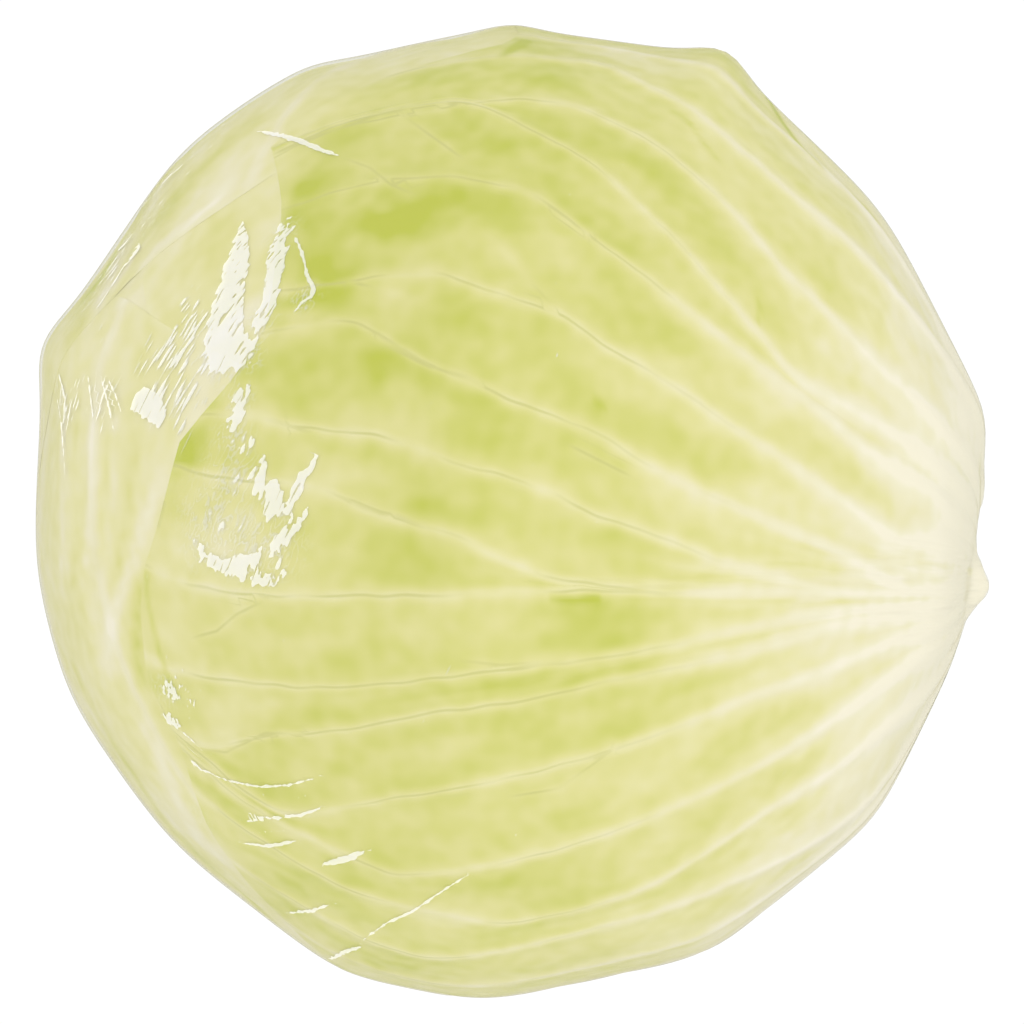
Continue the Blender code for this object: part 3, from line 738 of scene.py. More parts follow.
def wrapper_outline(leaf, turn):
    """Reach in degrees from a wrapper leaf's middle to its waved edge."""
    toward_tip = 0.5 * (1.0 + np.cos(np.radians(turn)))
    reach = leaf.to_base + (leaf.to_tip - leaf.to_base) * toward_tip ** 2
    wave = 0.0
    for number, height in WRAPPER_WAVES:
        wave = wave + height * np.sin(np.radians(number * (turn + leaf.azimuth)))
    return reach + WRAPPER_WAVE * wave * smooth(0.0, WRAPPER_WAVES_FROM, toward_tip)


def wrapper_leaf_grid(leaf, parts=1, rows=WRAPPER_ROWS, start=None):
    """Directions of a wrapper leaf's mesh, and each column's place among its ribs: a fan from
    the stem to the edge."""
    middle, outward, across = wrapper_axes(leaf)
    columns = 2 * WRAPPER_RIBS * parts + 1
    share = np.linspace(-1.0, 1.0, columns)
    base_angle = np.full(columns, start or leaf.start)
    base = from_stem(base_angle, leaf.azimuth + STALK_SPREAD * share)
    base_reach = np.degrees(np.arccos(np.clip(base @ middle, -1.0, 1.0)))
    base_turn = np.arctan2(base @ across, base @ outward)
    base_x = base_reach * np.cos(base_turn)
    base_y = base_reach * np.sin(base_turn)
    turn = FAN_SPREAD * share * (1.0 - FAN_CROWDING + FAN_CROWDING * np.abs(share))
    edge = wrapper_outline(leaf, turn)
    edge_x = edge * np.cos(np.radians(turn))
    edge_y = edge * np.sin(np.radians(turn))
    steps = np.linspace(0.0, 1.0, rows)[:, None]
    x = base_x + (edge_x - base_x) * steps
    y = base_y + (edge_y - base_y) * steps ** WRAPPER_ROW_BEND
    reach = np.radians(np.hypot(x, y))[..., None]
    heading = np.arctan2(y, x)[..., None]
    sideways = np.cos(heading) * outward + np.sin(heading) * across
    directions = np.cos(reach) * middle + np.sin(reach) * sideways
    return directions, np.linspace(0.0, WRAPPER_RIBS, columns)


def grown_from_stem(grid):
    """A leaf's grid, carried on inwards to where the leaf grows from the stem."""
    _, azimuth = to_stem(grid[0])
    first = from_stem(np.full(azimuth.shape, GROWS_FROM), azimuth)
    return np.concatenate([first[None], grid])


def border_of(grid):
    """The closed border of a grid of directions, with extra points along each edge."""
    loop = rim(grid)
    step = np.roll(loop, -1, axis=0) - loop
    pieces = [loop + step * part / BORDER_PARTS for part in range(BORDER_PARTS)]
    return unit(np.stack(pieces, axis=1).reshape(-1, 3))


def flat_chart(directions, middle, outward, across):
    """Directions laid out flat round a middle, true in distance from it."""
    reach = np.arccos(np.clip(directions @ middle, -1.0, 1.0))
    turn = np.arctan2(directions @ across, directions @ outward)
    return reach * np.cos(turn), reach * np.sin(turn)


def margin_distance(directions, leaf_grid):
    """Distance to a leaf's border, positive inside the leaf."""
    border = border_of(leaf_grid)
    nearest = np.full(directions.shape[:-1], -1.0)
    for start in range(0, len(border), BORDER_BLOCK):
        block = directions @ border[start:start + BORDER_BLOCK].T
        nearest = np.maximum(nearest, block.max(axis=-1))
    distance = BALL_RADIUS * np.arccos(np.clip(nearest, -1.0, 1.0))
    middle = unit(leaf_grid.reshape(-1, 3).mean(axis=0))
    outward = unit(np.cross(np.cross(middle, STEM), middle))
    across = np.cross(middle, outward)
    px, py = flat_chart(directions, middle, outward, across)
    bx, by = flat_chart(border, middle, outward, across)
    return np.where(inside_loop(px, py, bx, by), distance, -distance)


def thickness_here(distance, full):
    """Thickness of a leaf at a distance inside its margin."""
    return MARGIN_THICKNESS + (full - MARGIN_THICKNESS) * smooth(0.0, MARGIN_TAPER, distance)


def full_thickness(angle, number):
    """Thickness of a leaf away from its margin, its ribs included. Number 0 is the front leaf."""
    if number == 0:
        ribs = rib_height(angle, FRONT_RIB_NEAR, FRONT_RIB_FAR)
        return FRONT_BLADE + RIB_SHOWN_SHARE * ribs
    return WRAPPER_BLADE + rib_height(angle, WRAPPER_RIB_NEAR, WRAPPER_RIB_FAR)


def layer_depth(angle, covers, number):
    """Depth of the top of one layer below the skin. covers holds the margin distances of the
    leaves over it; number 0 is the front leaf."""
    depth = np.full(angle.shape, FILM_CLEAR)
    for above, distance in enumerate(covers[:number]):
        leaf = thickness_here(distance, full_thickness(angle, above)) + MARGIN_CLEARANCE
        leaf = leaf + (LEAF_CLEAR - MARGIN_CLEARANCE) * smooth(0.0, MARGIN_TAPER, distance)
        depth = depth + leaf * smooth(*MARGIN_DROP, distance)
    return depth


def pressed(covers):
    """How much of its relief a layer keeps: none where a margin above presses it flat."""
    nearest = np.min(np.abs(covers), axis=0)
    return smooth(0.0, MARGIN_TAPER, nearest)


def in_the_world(points):
    """Points of the head frame in the world, in metres."""
    pitch = math.radians(HEAD_PITCH)
    x = points[..., 0] + HEAD_SHIFT[0]
    y = points[..., 1] * math.cos(pitch) + points[..., 2] * math.sin(pitch) + HEAD_SHIFT[1]
    z = points[..., 2] * math.cos(pitch) - points[..., 1] * math.sin(pitch) + FLOOR_DISTANCE
    return np.stack([x, y, z], axis=-1) * METRES


def seen(pixels):
    """Directions on the head of pixels of the photo."""
    pixels = np.asarray(pixels, dtype=float)
    x = (pixels[..., 0] - PHOTO_CENTRE[0]) * PHOTO_SCALE
    z = (PHOTO_CENTRE[1] - pixels[..., 1]) * PHOTO_SCALE
    ray = unit(np.stack([x, np.full_like(x, CAMERA_DISTANCE), z], axis=-1))
    eye = np.array([0.0, -CAMERA_DISTANCE, 0.0])
    along = ray @ eye
    room = np.maximum(along ** 2 - CAMERA_DISTANCE ** 2 + SEEN_RADIUS ** 2, 0.0)
    return unit(eye + (-along - np.sqrt(room))[..., None] * ray)


def linear(hexadecimal):
    """An sRGB hex colour as the linear colour that sockets take."""
    parts = [int(hexadecimal[place:place + 2], 16) / 255.0 for place in (1, 3, 5)]
    parts = [p / 12.92 if p <= 0.04045 else ((p + 0.055) / 1.055) ** 2.4 for p in parts]
    return (*parts, 1.0)


def add_node(tree, kind, values=None, links=None, stops=(), **settings):
    """A node of one kind, with its settings, its sockets' values, what feeds them, and the
    stops of its ramp as (place, hex colour)."""
    node = tree.nodes.new(kind)
    for name, value in settings.items():
        setattr(node, name, value)
    for socket, value in (values or {}).items():
        node.inputs[socket].default_value = value
    for socket, source in (links or {}).items():
        tree.links.new(source, node.inputs[socket])
    if stops:
        elements = node.color_ramp.elements
        while len(elements) > 1:
            elements.remove(elements[-1])
        for place, colour in stops:
            stop = elements[0] if (place, colour) == stops[0] else elements.new(place)
            stop.position = place
            stop.color = linear(colour)
    return node


def walled(outer, inner, step):
    """Vertices and faces of a closed wall: a fine outer grid and an inner one, step coarser."""
    rows, columns = outer.shape[:2]
    count = rows * columns
    index = np.arange(count).reshape(rows, columns)
    low_rows, low_columns = inner.shape[:2]
    low = count + np.arange(low_rows * low_columns).reshape(low_rows, low_columns)
    faces = quads(index) + [face[::-1] for face in quads(low)]
    fine_loop = np.append(rim(index), index[0, 0])
    low_loop = np.append(rim(low), low[0, 0])
    for place in range(len(low_loop) - 1):
        run = fine_loop[place * step:(place + 1) * step + 1][::-1].tolist()
        faces.append(tuple(run + [int(low_loop[place]), int(low_loop[place + 1])]))
    corner = np.cross(outer[1, 0] - outer[0, 0], outer[0, 1] - outer[0, 0])
    if np.dot(corner, outer[0, 0] - inner[0, 0]) > 0.0:
        faces = [face[::-1] for face in faces]
    return np.concatenate([outer.reshape(-1, 3), inner.reshape(-1, 3)]), faces


def quads(index):
    """Faces of a grid of vertex numbers."""
    a = index[:-1, :-1].ravel()
    b = index[:-1, 1:].ravel()
    c = index[1:, 1:].ravel()
    d = index[1:, :-1].ravel()
    return list(zip(a.tolist(), b.tolist(), c.tolist(), d.tolist()))


def add_piece(name, vertices, faces, material, measures=None):
    """A piece in the world, with its material and what is measured at each of its vertices."""
    mesh = bpy.data.meshes.new(name)
    mesh.from_pydata(in_the_world(vertices).tolist(), [], faces)
    mesh.shade_smooth()
    mesh.set_sharp_from_angle(angle=CRISP_ANGLE)
    for measure, values in (measures or {}).items():
        layer = mesh.attributes.new(measure, "FLOAT", "POINT")
        layer.data.foreach_set("value", np.asarray(values, dtype=np.float32).ravel())
    mesh.materials.append(material)
    piece = bpy.data.objects.new(name, mesh)
    bpy.context.scene.collection.objects.link(piece)
    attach(piece, "root")
    return piece


def path_gap(directions, pixels, parts=5):
    """Signed distance to a line through pixels of the photo, and how far along it, 0 to 1."""
    pixels = np.array(pixels, dtype=float)
    places = np.arange(len(pixels))
    fine = np.linspace(0.0, places[-1], places[-1] * parts + 1)
    points = seen(np.stack([np.interp(fine, places, pixels[:, k]) for k in (0, 1)], axis=1))
    gap = np.full(directions.shape[:-1], FAR)
    along = np.zeros(directions.shape[:-1])
    middle = unit(points.mean(axis=0))
    reach = np.arccos(np.clip(points @ middle, -1.0, 1.0)).max() + PATH_REACH
    near = directions @ middle > math.cos(min(reach, math.pi))
    here = directions[near]
    best = np.full(len(here), FAR)
    share = np.zeros(len(here))
    for index in range(len(points) - 1):
        start, step = points[index], points[index + 1] - points[index]
        part = np.clip((here - start) @ step / (step @ step), 0.0, 1.0)
        distance = BALL_RADIUS * np.linalg.norm(here - start - part[:, None] * step, axis=1)
        side = np.where(here @ np.cross(start, step) < 0.0, -1.0, 1.0)
        nearer = distance < np.abs(best)
        best = np.where(nearer, distance * side, best)
        share = np.where(nearer, (index + part) / (len(points) - 1), share)
    gap[near] = best
    along[near] = share
    return gap, along


def spot(directions, pixel, radius):
    """A soft round spot about a pixel of the photo, 1 in its middle."""
    distance = BALL_RADIUS * np.linalg.norm(directions - seen(pixel), axis=-1)
    return np.exp(-(distance / radius) ** 2)


# Fine veins of the front leaf that the solids leave out, through pixels of the photo
FINE_VEINS = (
    ((470, 222), (500, 245), (530, 280), (553, 305)),
    ((560, 440), (600, 460), (640, 480)),
    ((400, 113), (440, 140), (475, 165)),
    ((338, 156), (370, 167), (390, 184), (424, 196)),
    ((165, 645), (215, 632), (235, 615), (270, 598)),
    ((320, 490), (350, 500), (380, 512), (420, 520)),
    ((380, 343), (430, 368), (480, 380)),
    ((590, 235), (560, 212), (520, 185)),
    ((310, 434), (275, 420), (250, 415)),
    ((300, 733), (265, 733), (225, 753), (196, 748)),
    ((560, 660), (500, 665), (450, 660)),
    ((620, 745), (560, 790), (500, 800)),
    ((420, 300), (370, 287), (350, 283)),
)

# Greener and paler spots of the front leaf, two of them painted shade: pixel, radius, how much
# greener
GREEN_AND_SHADE_SPOTS = (
    ((388, 226), 3.2, 0.42), ((412, 212), 3.4, 0.38), ((443, 192), 3.6, 0.22),
    ((333, 298), 4.2, 0.32), ((306, 189), 3.2, 0.34), ((296, 216), 3.6, 0.36),
    ((364, 222), 2.6, 0.24), ((322, 262), 3.6, 0.20), ((512, 217), 4.0, 0.20),
    ((507, 143), 3.2, 0.24), ((530, 176), 6.0, 0.10), ((427, 508), 3.2, 0.34),
    # The spots at (188, 452) and (210, 404) are painted shade along the front leaf's left margin.
    ((450, 426), 7.0, 0.16), ((563, 439), 4.0, 0.12), ((188, 452), 4.2, 0.46),
    ((210, 404), 3.6, 0.22), ((382, 368), 3.6, 0.20), ((345, 330), 12.0, 0.10),
    ((380, 200), 15.0, 0.06), ((530, 70), 9.0, 0.2), ((320, 565), 17.0, -0.14),
    ((340, 540), 9.0, 0.08), ((470, 325), 11.0, 0.08), ((560, 670), 7.0, 0.04),
    ((600, 410), 5.0, 0.08), ((560, 775), 12.0, -0.08), ((590, 840), 10.0, -0.10),
    ((590, 690), 13.0, 0.20), ((704, 832), 12.0, 0.12), ((232, 478), 7.0, -0.20),
    ((240, 552), 7.0, -0.16), ((448, 200), 12.0, 0.08), ((576, 180), 14.0, 0.10),
    ((715, 450), 10.0, -0.08), ((205, 590), 12.0, -0.04), ((215, 700), 10.0, -0.14),
    ((720, 150), 10.0, -0.16), ((355, 435), 5.0, -0.14), ((480, 290), 6.0, -0.06),
    ((270, 160), 14.0, -0.10), ((835, 385), 11.0, -0.10), ((640, 330), 9.0, -0.08),
    ((230, 560), 10.0, -0.10), ((730, 560), 16.0, -0.06), ((430, 860), 10.0, 0.06),
    ((640, 640), 8.0, 0.06),
)

# Dark green streaks of the front leaf, some of them painted shade: pixels along each, half width,
# how much greener
GREEN_AND_SHADE_STREAKS = (
    # Painted shade on the stalk's bulge beside the cut stem.
    (((967, 545), (977, 559), (984, 574), (981, 590)), 0.9, 0.26),
    # Painted shadow in the groove under the midrib, in these three streaks.
    (((966, 598), (940, 598), (900, 600), (860, 601), (815, 601)), 0.7, 0.34),
    (((815, 601), (700, 600), (600, 597)), 0.5, 0.16),
    (((604, 596), (575, 600), (546, 597)), 0.8, 0.40),
    (((670, 112), (680, 118), (692, 129)), 0.9, 0.30),
    (((684, 120), (702, 142), (722, 162)), 0.45, 0.22),
    (((742, 82), (785, 124), (832, 172)), 1.0, 0.75),
    (((853, 188), (870, 204), (886, 222)), 0.8, 0.55),
    (((758, 294), (762, 310), (757, 326)), 0.6, 0.22),
    (((594, 396), (606, 410)), 0.8, 0.20),
    (((530, 42), (514, 52), (500, 62)), 0.8, 0.60),
    # Painted shade along the front leaf's left margin, in these two streaks.
    (((146, 560), (148, 600), (158, 650), (176, 700)), 0.7, 0.30),
    (((205, 382), (196, 404), (182, 430), (177, 470)), 1.6, 0.35),
)

# How green the front leaf's blade is against the angle from the stem
BLADE_GREEN = (
    (10, 0.0), (20, 0.02), (30, 0.10), (42, 0.29), (55, 0.58), (68, 0.82), (85, 0.96),
    (105, 1.03), (125, 0.98), (145, 0.88),
)

# The pale bands along the front leaf's ribs: angle from the stem, half width, paleness
RIB_CORES = (
    (10, 1.8, 0.10), (30, 1.6, 0.24), (50, 1.4, 0.29), (75, 1.2, 0.22), (100, 0.9, 0.22),
    (140, 0.7, 0.19),
)
RIB_SHOULDERS = (
    (10, 4.5, 0.16), (30, 4.0, 0.22), (50, 3.4, 0.27), (75, 2.6, 0.24), (100, 2.0, 0.18),
    (140, 1.5, 0.12),
)

# How much paler the front leaf is far round the head, from these azimuths on, either way from
# a middle one
LIMB_PALENESS = 0.16
LIMB_MIDDLE = 2.0
LIMB_PALE_FROM = (52.0, 84.0)

# Where the front leaf's ribs fade out: pixel, radius, how much
RIB_FADES = (((330, 130), 20.0, 0.75), ((300, 240), 16.0, 0.6))


def blade_green_and_shade(directions, angle, azimuth):
    """Greenness of the front leaf's blade, 0 cream and 1 deep green, with painted shade in some of
    its streaks and spots.
    """
    green = from_table(BLADE_GREEN, angle)
    green = green - LIMB_PALENESS * smooth(*LIMB_PALE_FROM, np.abs(azimuth - LIMB_MIDDLE))
    for pixel, radius, more in GREEN_AND_SHADE_SPOTS:
        green = green + more * spot(directions, pixel, radius)
    for route, width, more in GREEN_AND_SHADE_STREAKS:
        gap, along = path_gap(directions, route)
        green = green + more * fading_ends(along, STREAK_ENDS) * np.exp(-(gap / width) ** 2)
    return green


def rib_band(directions, angle, azimuth):
    """How much paler the front leaf's ribs make each place."""
    band = 0.0
    for bands in (RIB_CORES, RIB_SHOULDERS):
        width = from_table(bands, angle)
        paleness = from_table(bands, angle, 2)
        band = band + paleness * rib_share(angle, azimuth, width)
    for pixel, radius, much in RIB_FADES:
        band = band * (1.0 - much * spot(directions, pixel, radius))
    return band


def flow_map(piece, across, along):
    """A UV map that follows a leaf: across it from rib to rib, and along it from the stem."""
    layer = piece.data.uv_layers.new(name="flow")
    corners = np.empty(len(piece.data.loops), dtype=np.int64)
    piece.data.loops.foreach_get("vertex_index", corners)
    place = np.stack([across, along], axis=-1).reshape(-1, 2)[corners]
    layer.data.foreach_set("uv", place.astype(np.float32).ravel())


def both_sides(values):
    """Measures of a wall's fine outer grid, then of its coarse inner one."""
    return np.concatenate([values.ravel(), values[::INNER_STEP, ::INNER_STEP].ravel()])


# How green the leaves under the front leaf are against the angle from the stem
WRAPPER_GREEN = ((10, 0.02), (30, 0.2), (60, 0.52), (100, 0.60), (150, 0.56))

# How green the inner head is
INNER_GREEN = ((10, 0.0), (60, 0.4), (180, 0.5))

# Pale and green bands of the leaves under the front leaf: pixels along each, half width, how
# much greener
WRAPPER_BANDS = (
    (((176, 444), (160, 490), (144, 523), (130, 570), (118, 601), (108, 640), (98, 692)),
     1.7, -0.4),
    (((64, 380), (62, 450), (60, 520), (58, 600)), 0.9, -0.3),
    (((95, 385), (92, 450), (88, 520), (80, 600)), 0.8, -0.26),
    (((114, 395), (116, 450), (110, 520), (104, 580)), 0.7, -0.22),
    (((78, 395), (77, 460), (74, 530), (68, 620)), 1.0, 0.22),
    (((104, 400), (104, 460), (99, 520), (92, 600)), 0.8, 0.2),
    (((134, 440), (130, 490), (120, 545), (112, 600)), 0.9, 0.24),
    (((150, 560), (140, 600), (136, 650), (146, 710)), 1.2, 0.3),
    (((242, 164), (221, 197), (193, 220), (158, 245), (140, 268), (127, 296), (107, 317)),
     1.1, -0.42),
    (((165, 217), (140, 243), (117, 279), (89, 312)), 0.9, -0.36),
    (((262, 190), (236, 214), (206, 238), (176, 262), (150, 300), (136, 340)), 1.6, 0.12),
    (((235, 300), (205, 330), (180, 345), (150, 400)), 1.5, 0.04),
    (((290, 84), (250, 106), (214, 132), (180, 163), (150, 196), (118, 244), (92, 290), (62, 332)),
     3.6, 0.62),
    (((128, 262), (160, 215), (196, 175), (240, 135), (290, 100)), 4.6, 0.40),
    (((120, 700), (152, 752), (176, 800), (196, 840), (226, 866), (262, 896)), 2.6, -0.36),
    (((60, 640), (84, 700), (120, 765), (156, 822), (200, 868), (260, 915), (330, 962)), 2.2, 0.34),
)


def near_line(gap):
    """1 at a line and close to it, and none from a thread's reach outwards."""
    return smooth(LINE_REACH, LINE_CORE, np.abs(gap))


def front_lines(directions, angle, azimuth):
    """The front leaf's pale bands, the distance to its nearest line, and how dark a thread runs
    there. Its lines are its ribs and the fine veins between them."""
    gap, grown = rib_gap(angle, azimuth)
    band = rib_band(directions, angle, azimuth)
    line = np.where(np.abs(gap) < LINE_REACH, gap, FAR)
    dark = grown * smooth(*THREADS_FROM, angle) * near_line(gap)
    for route in FINE_VEINS:
        vein, along = path_gap(directions, route)
        ends = fading_ends(along, FINE_VEIN_ENDS)
        pale = FINE_VEIN_PALENESS * ends * np.exp(-(vein / FINE_VEIN_WIDTH) ** 2)
        band = np.maximum(band, pale)
        nearer = np.abs(vein) < np.minimum(np.abs(line), LINE_REACH)
        line = np.where(nearer, vein, line)
        dark = np.where(nearer, ends * near_line(vein), dark)
    return band, np.clip(line, -LINE_REACH, LINE_REACH), dark


def dressed_leaf(name, directions, outer, inner, across, fine, material):
    """A leaf's piece: a fine outer side, an inner side with fewer points, what is measured on
    them, and the flow map, whose place across the leaf is given."""
    low = directions[::INNER_STEP, ::INNER_STEP]
    inner = inner[::INNER_STEP, ::INNER_STEP]
    vertices, faces = walled(directions * outer[..., None], low * inner[..., None], INNER_STEP)
    measures = {measure: both_sides(values) for measure, values in fine.items()}
    piece = add_piece(name, vertices, faces, material, measures)
    angle, _ = to_stem(directions)
    along = BALL_RADIUS * np.radians(angle) / FLOW_UNIT
    across = np.broadcast_to(across[None, :], angle.shape)
    flow_map(piece, both_sides(across), both_sides(along))
    return piece


def front_leaf_piece(grids, material):
    """The outermost leaf, its ribs standing out of a softly hollowed blade."""
    directions, column = front_leaf_grid(
        FRONT_COLUMN_PARTS, FRONT_FINE_ROWS, FRONT_SHOWN_START,
    )
    angle, azimuth = to_stem(directions)
    edge = np.maximum(margin_distance(directions, grids[0]), 0.0)
    full = full_thickness(angle, 0)
    top = resting_radius(directions, film=True) - FILM_CLEAR
    ribs = (full - FRONT_BLADE) * smooth(0.0, MARGIN_TAPER, edge)
    outer = top - ribs * (1.0 - front_ridges(angle, azimuth))
    inner = top - thickness_here(edge, full)
    band, line, dark = front_lines(directions, angle, azimuth)
    fine = {
        "greenness_and_shade": blade_green_and_shade(directions, angle, azimuth),
        "rib_band": band,
        "line_gap": line,
        "line_dark": dark,
        "edge_gap": edge,
    }
    across = column * FRONT_FLOW_STEP
    piece = dressed_leaf("outer_leaf", directions, outer, inner, across, fine, material)
    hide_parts("leaf_front")
    return piece


def wrapper_rib_gap(directions, column):
    """Distance to the nearest rib of a wrapper leaf's fan."""
    off = np.abs(column - np.floor(column) - 0.5)
    spread = np.linalg.norm(np.gradient(directions, axis=1), axis=-1) * BALL_RADIUS
    return off[None, :] * spread * 2.0 * WRAPPER_COLUMN_PARTS


def wrapper_green(directions, angle):
    """Greenness of a wrapper leaf, with its pale and green bands."""
    green = from_table(WRAPPER_GREEN, angle)
    for route, width, more in WRAPPER_BANDS:
        gap, along = path_gap(directions, route)
        green = green + more * fading_ends(along, BAND_ENDS) * np.exp(-(gap / width) ** 2)
    return green


def wrapper_piece(number, grids, material):
    """One of the leaves under the front leaf."""
    leaf = WRAPPER_LEAVES[number - 1]
    directions, column = wrapper_leaf_grid(
        leaf, WRAPPER_COLUMN_PARTS, WRAPPER_FINE_ROWS, WRAPPER_SHOWN_START,
    )
    angle, _ = to_stem(directions)
    covers = [margin_distance(directions, grid) for grid in grids[:number]]
    edge = np.maximum(margin_distance(directions, grids[number]), 0.0)
    full = full_thickness(angle, number)
    top = resting_radius(directions, film=True) - layer_depth(angle, covers, number)
    ribs = (full - WRAPPER_BLADE) * smooth(0.0, MARGIN_TAPER, edge) * pressed(covers)
    gap = wrapper_rib_gap(directions, column)
    ridge = np.exp(-(gap / rib_width(angle)) ** 2)
    outer = top - ribs * (1.0 - ridge)
    inner = top - thickness_here(edge, full)
    fine = {
        "greenness_and_shade": wrapper_green(directions, angle),
        "rib_band": WRAPPER_RIB_PALENESS * ridge,
        "line_gap": gap,
        "line_dark": WRAPPER_THREADS * smooth(*WRAPPER_THREADS_FROM, angle),
        "edge_gap": edge,
    }
    name = leaf.node.replace("leaf", "wrapper")
    across = column * WRAPPER_FLOW_STEP
    piece = dressed_leaf(name, directions, outer, inner, across, fine, material)
    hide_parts(leaf.node)
    return piece


def ball_faces(rows, columns, start, first_pole, last_pole):
    """Faces of a closed ball of rings, outward when the rings run away from the stem."""
    faces = []
    for row in range(rows - 1):
        for column in range(columns):
            following = (column + 1) % columns
            a = start + row * columns + column
            b = start + row * columns + following
            faces.append((a, b, b + columns, a + columns))
    last = start + (rows - 1) * columns
    for column in range(columns):
        following = (column + 1) % columns
        if first_pole is not None:
            faces.append((start + following, start + column, first_pole))
        faces.append((last + column, last + following, last_pole))
    return faces


def inner_head_piece(grids, material):
    """The firm inner head, seen only where no wrapper leaf covers it."""
    angles = np.linspace(0.0, 180.0, HEAD_FINE_RINGS + 1)[1:-1]
    azimuths = np.arange(HEAD_FINE_SEGMENTS) * 360.0 / HEAD_FINE_SEGMENTS
    angle, azimuth = np.meshgrid(angles, azimuths, indexing="ij")
    directions = np.concatenate([from_stem(angle, azimuth).reshape(-1, 3), [STEM], [-STEM]])
    covers = [margin_distance(directions, grid) for grid in grids]
    angle, azimuth = to_stem(directions)
    top = resting_radius(directions, film=True)
    radius = top - layer_depth(angle, covers, len(grids)) - MARGIN_CLEARANCE
    sway = INNER_RIB_SWAY * np.sin(np.radians(INNER_RIB_SWAYS * angle))
    ribs = 0.5 + 0.5 * np.cos(np.radians(azimuth * INNER_RIBS + sway))
    radius = radius - INNER_RELIEF * ribs * np.sin(np.radians(angle)) * pressed(covers)
    vertices = directions * radius[:, None]
    near = vertices @ STEM > SEAT_DISTANCE
    vertices[near] *= (SEAT_DISTANCE / (vertices[near] @ STEM))[:, None]
    rows = len(angles)
    pole = rows * HEAD_FINE_SEGMENTS
    faces = ball_faces(rows, HEAD_FINE_SEGMENTS, 0, pole, pole + 1)
    measures = {
        "greenness_and_shade": from_table(INNER_GREEN, angle),
        "rib_band": INNER_RIB_PALENESS * ribs,
        "line_gap": INNER_RIB_SPACING * (1.0 - ribs),
        "line_dark": np.zeros(len(angle)),
        "edge_gap": np.full(len(angle), FAR),
    }
    piece = add_piece("inner_head", vertices, faces, material, measures)
    flow_map(piece, np.radians(azimuth) * INNER_FLOW[0], np.radians(angle) * INNER_FLOW[1])
    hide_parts("head")
    return piece


# Painted highlights: places where the film is pulled flat, turned to face the soft light and
# made to mirror far more, as outlines in the photo
TAUT_HIGHLIGHT_PATCHES = (
    ((243, 222), (249, 236), (250, 256), (246, 285), (243, 310), (244, 330), (252, 340),
     (258, 336), (252, 354), (246, 364), (232, 371), (216, 373), (207, 368), (206, 350),
     (207, 325), (214, 300), (224, 270), (233, 245)),
    ((291, 218), (293, 226), (288, 250), (283, 280), (276, 305), (265, 325), (258, 336),
     (252, 330), (258, 312), (264, 290), (268, 262), (274, 238), (282, 228)),
    ((131, 410), (137, 396), (145, 388), (156, 392), (166, 404), (166, 422), (160, 430),
     (146, 418)),
    ((238, 388), (246, 380), (250, 384), (246, 402), (238, 412), (234, 404)),
    ((229, 420), (240, 408), (246, 412), (242, 424), (232, 432)),
    ((238, 448), (252, 436), (256, 440), (246, 456), (238, 460)),
    ((256, 470), (264, 454), (266, 462), (262, 486), (256, 500), (252, 492)),
    ((266, 482), (276, 478), (282, 490), (280, 512), (268, 520), (260, 508)),
    ((318, 452), (312, 470), (304, 488), (292, 510), (284, 518), (280, 512), (290, 492),
     (298, 474), (308, 460)),
    ((312, 505), (308, 516), (296, 530), (286, 544), (272, 552), (262, 548), (276, 536),
     (292, 522), (304, 510)),
    ((196, 545), (206, 552), (222, 560), (238, 556), (246, 562), (250, 574), (270, 578),
     (280, 572), (286, 578), (276, 586), (256, 586), (236, 578), (216, 572), (202, 562)),
    ((246, 562), (256, 552), (262, 566), (258, 574)),
    ((274, 562), (280, 556), (284, 572), (276, 576)),
    ((161, 682), (168, 680), (174, 690), (179, 700), (172, 700), (164, 692)),
    ((158, 708), (166, 712), (176, 722), (184, 730), (178, 731), (166, 722)),
)

# Painted highlights along narrow creases, which the film's shape doesn't have: pixels along
# each, and half width
CREASES = (
    (((261, 134), (280, 137), (300, 142), (320, 150), (340, 157)), 0.55),
    (((195, 768), (225, 779), (260, 786), (290, 784), (316, 777)), 0.25),
    (((248, 820), (275, 816), (300, 813), (322, 806)), 0.42),
    (((250, 812), (268, 815), (288, 816)), 0.22),
    (((246, 842), (268, 844), (282, 842), (298, 838)), 0.4),
    (((326, 861), (345, 856), (366, 848)), 0.7),
    (((288, 913), (310, 910), (330, 903)), 0.4),
    (((366, 934), (390, 918), (410, 910), (432, 896), (464, 876)), 0.3),
    (((333, 951), (348, 945), (364, 941)), 0.5),
    (((173, 727), (185, 735), (196, 745)), 0.25),
    (((188, 759), (200, 768), (217, 776)), 0.25),
    (((95, 318), (110, 290), (122, 268), (140, 238)), 0.2),
    (((126, 264), (136, 250), (138, 244)), 0.7),
    (((117, 251), (124, 244), (131, 235)), 0.4),
    (((163, 188), (172, 180), (184, 171)), 0.35),
    (((68, 376), (70, 400), (66, 424)), 0.3),
    (((62, 390), (64, 430), (66, 474)), 0.2),
    (((93, 378), (94, 400), (96, 424)), 0.2),
    (((105, 380), (110, 402), (115, 428)), 0.3),
    (((112, 382), (118, 396), (123, 412)), 0.25),
    (((312, 452), (316, 456), (306, 476)), 0.3),
    (((294, 236), (300, 246), (305, 262), (308, 276), (315, 290), (312, 298), (303, 303),
      (298, 311)), 0.34),
)

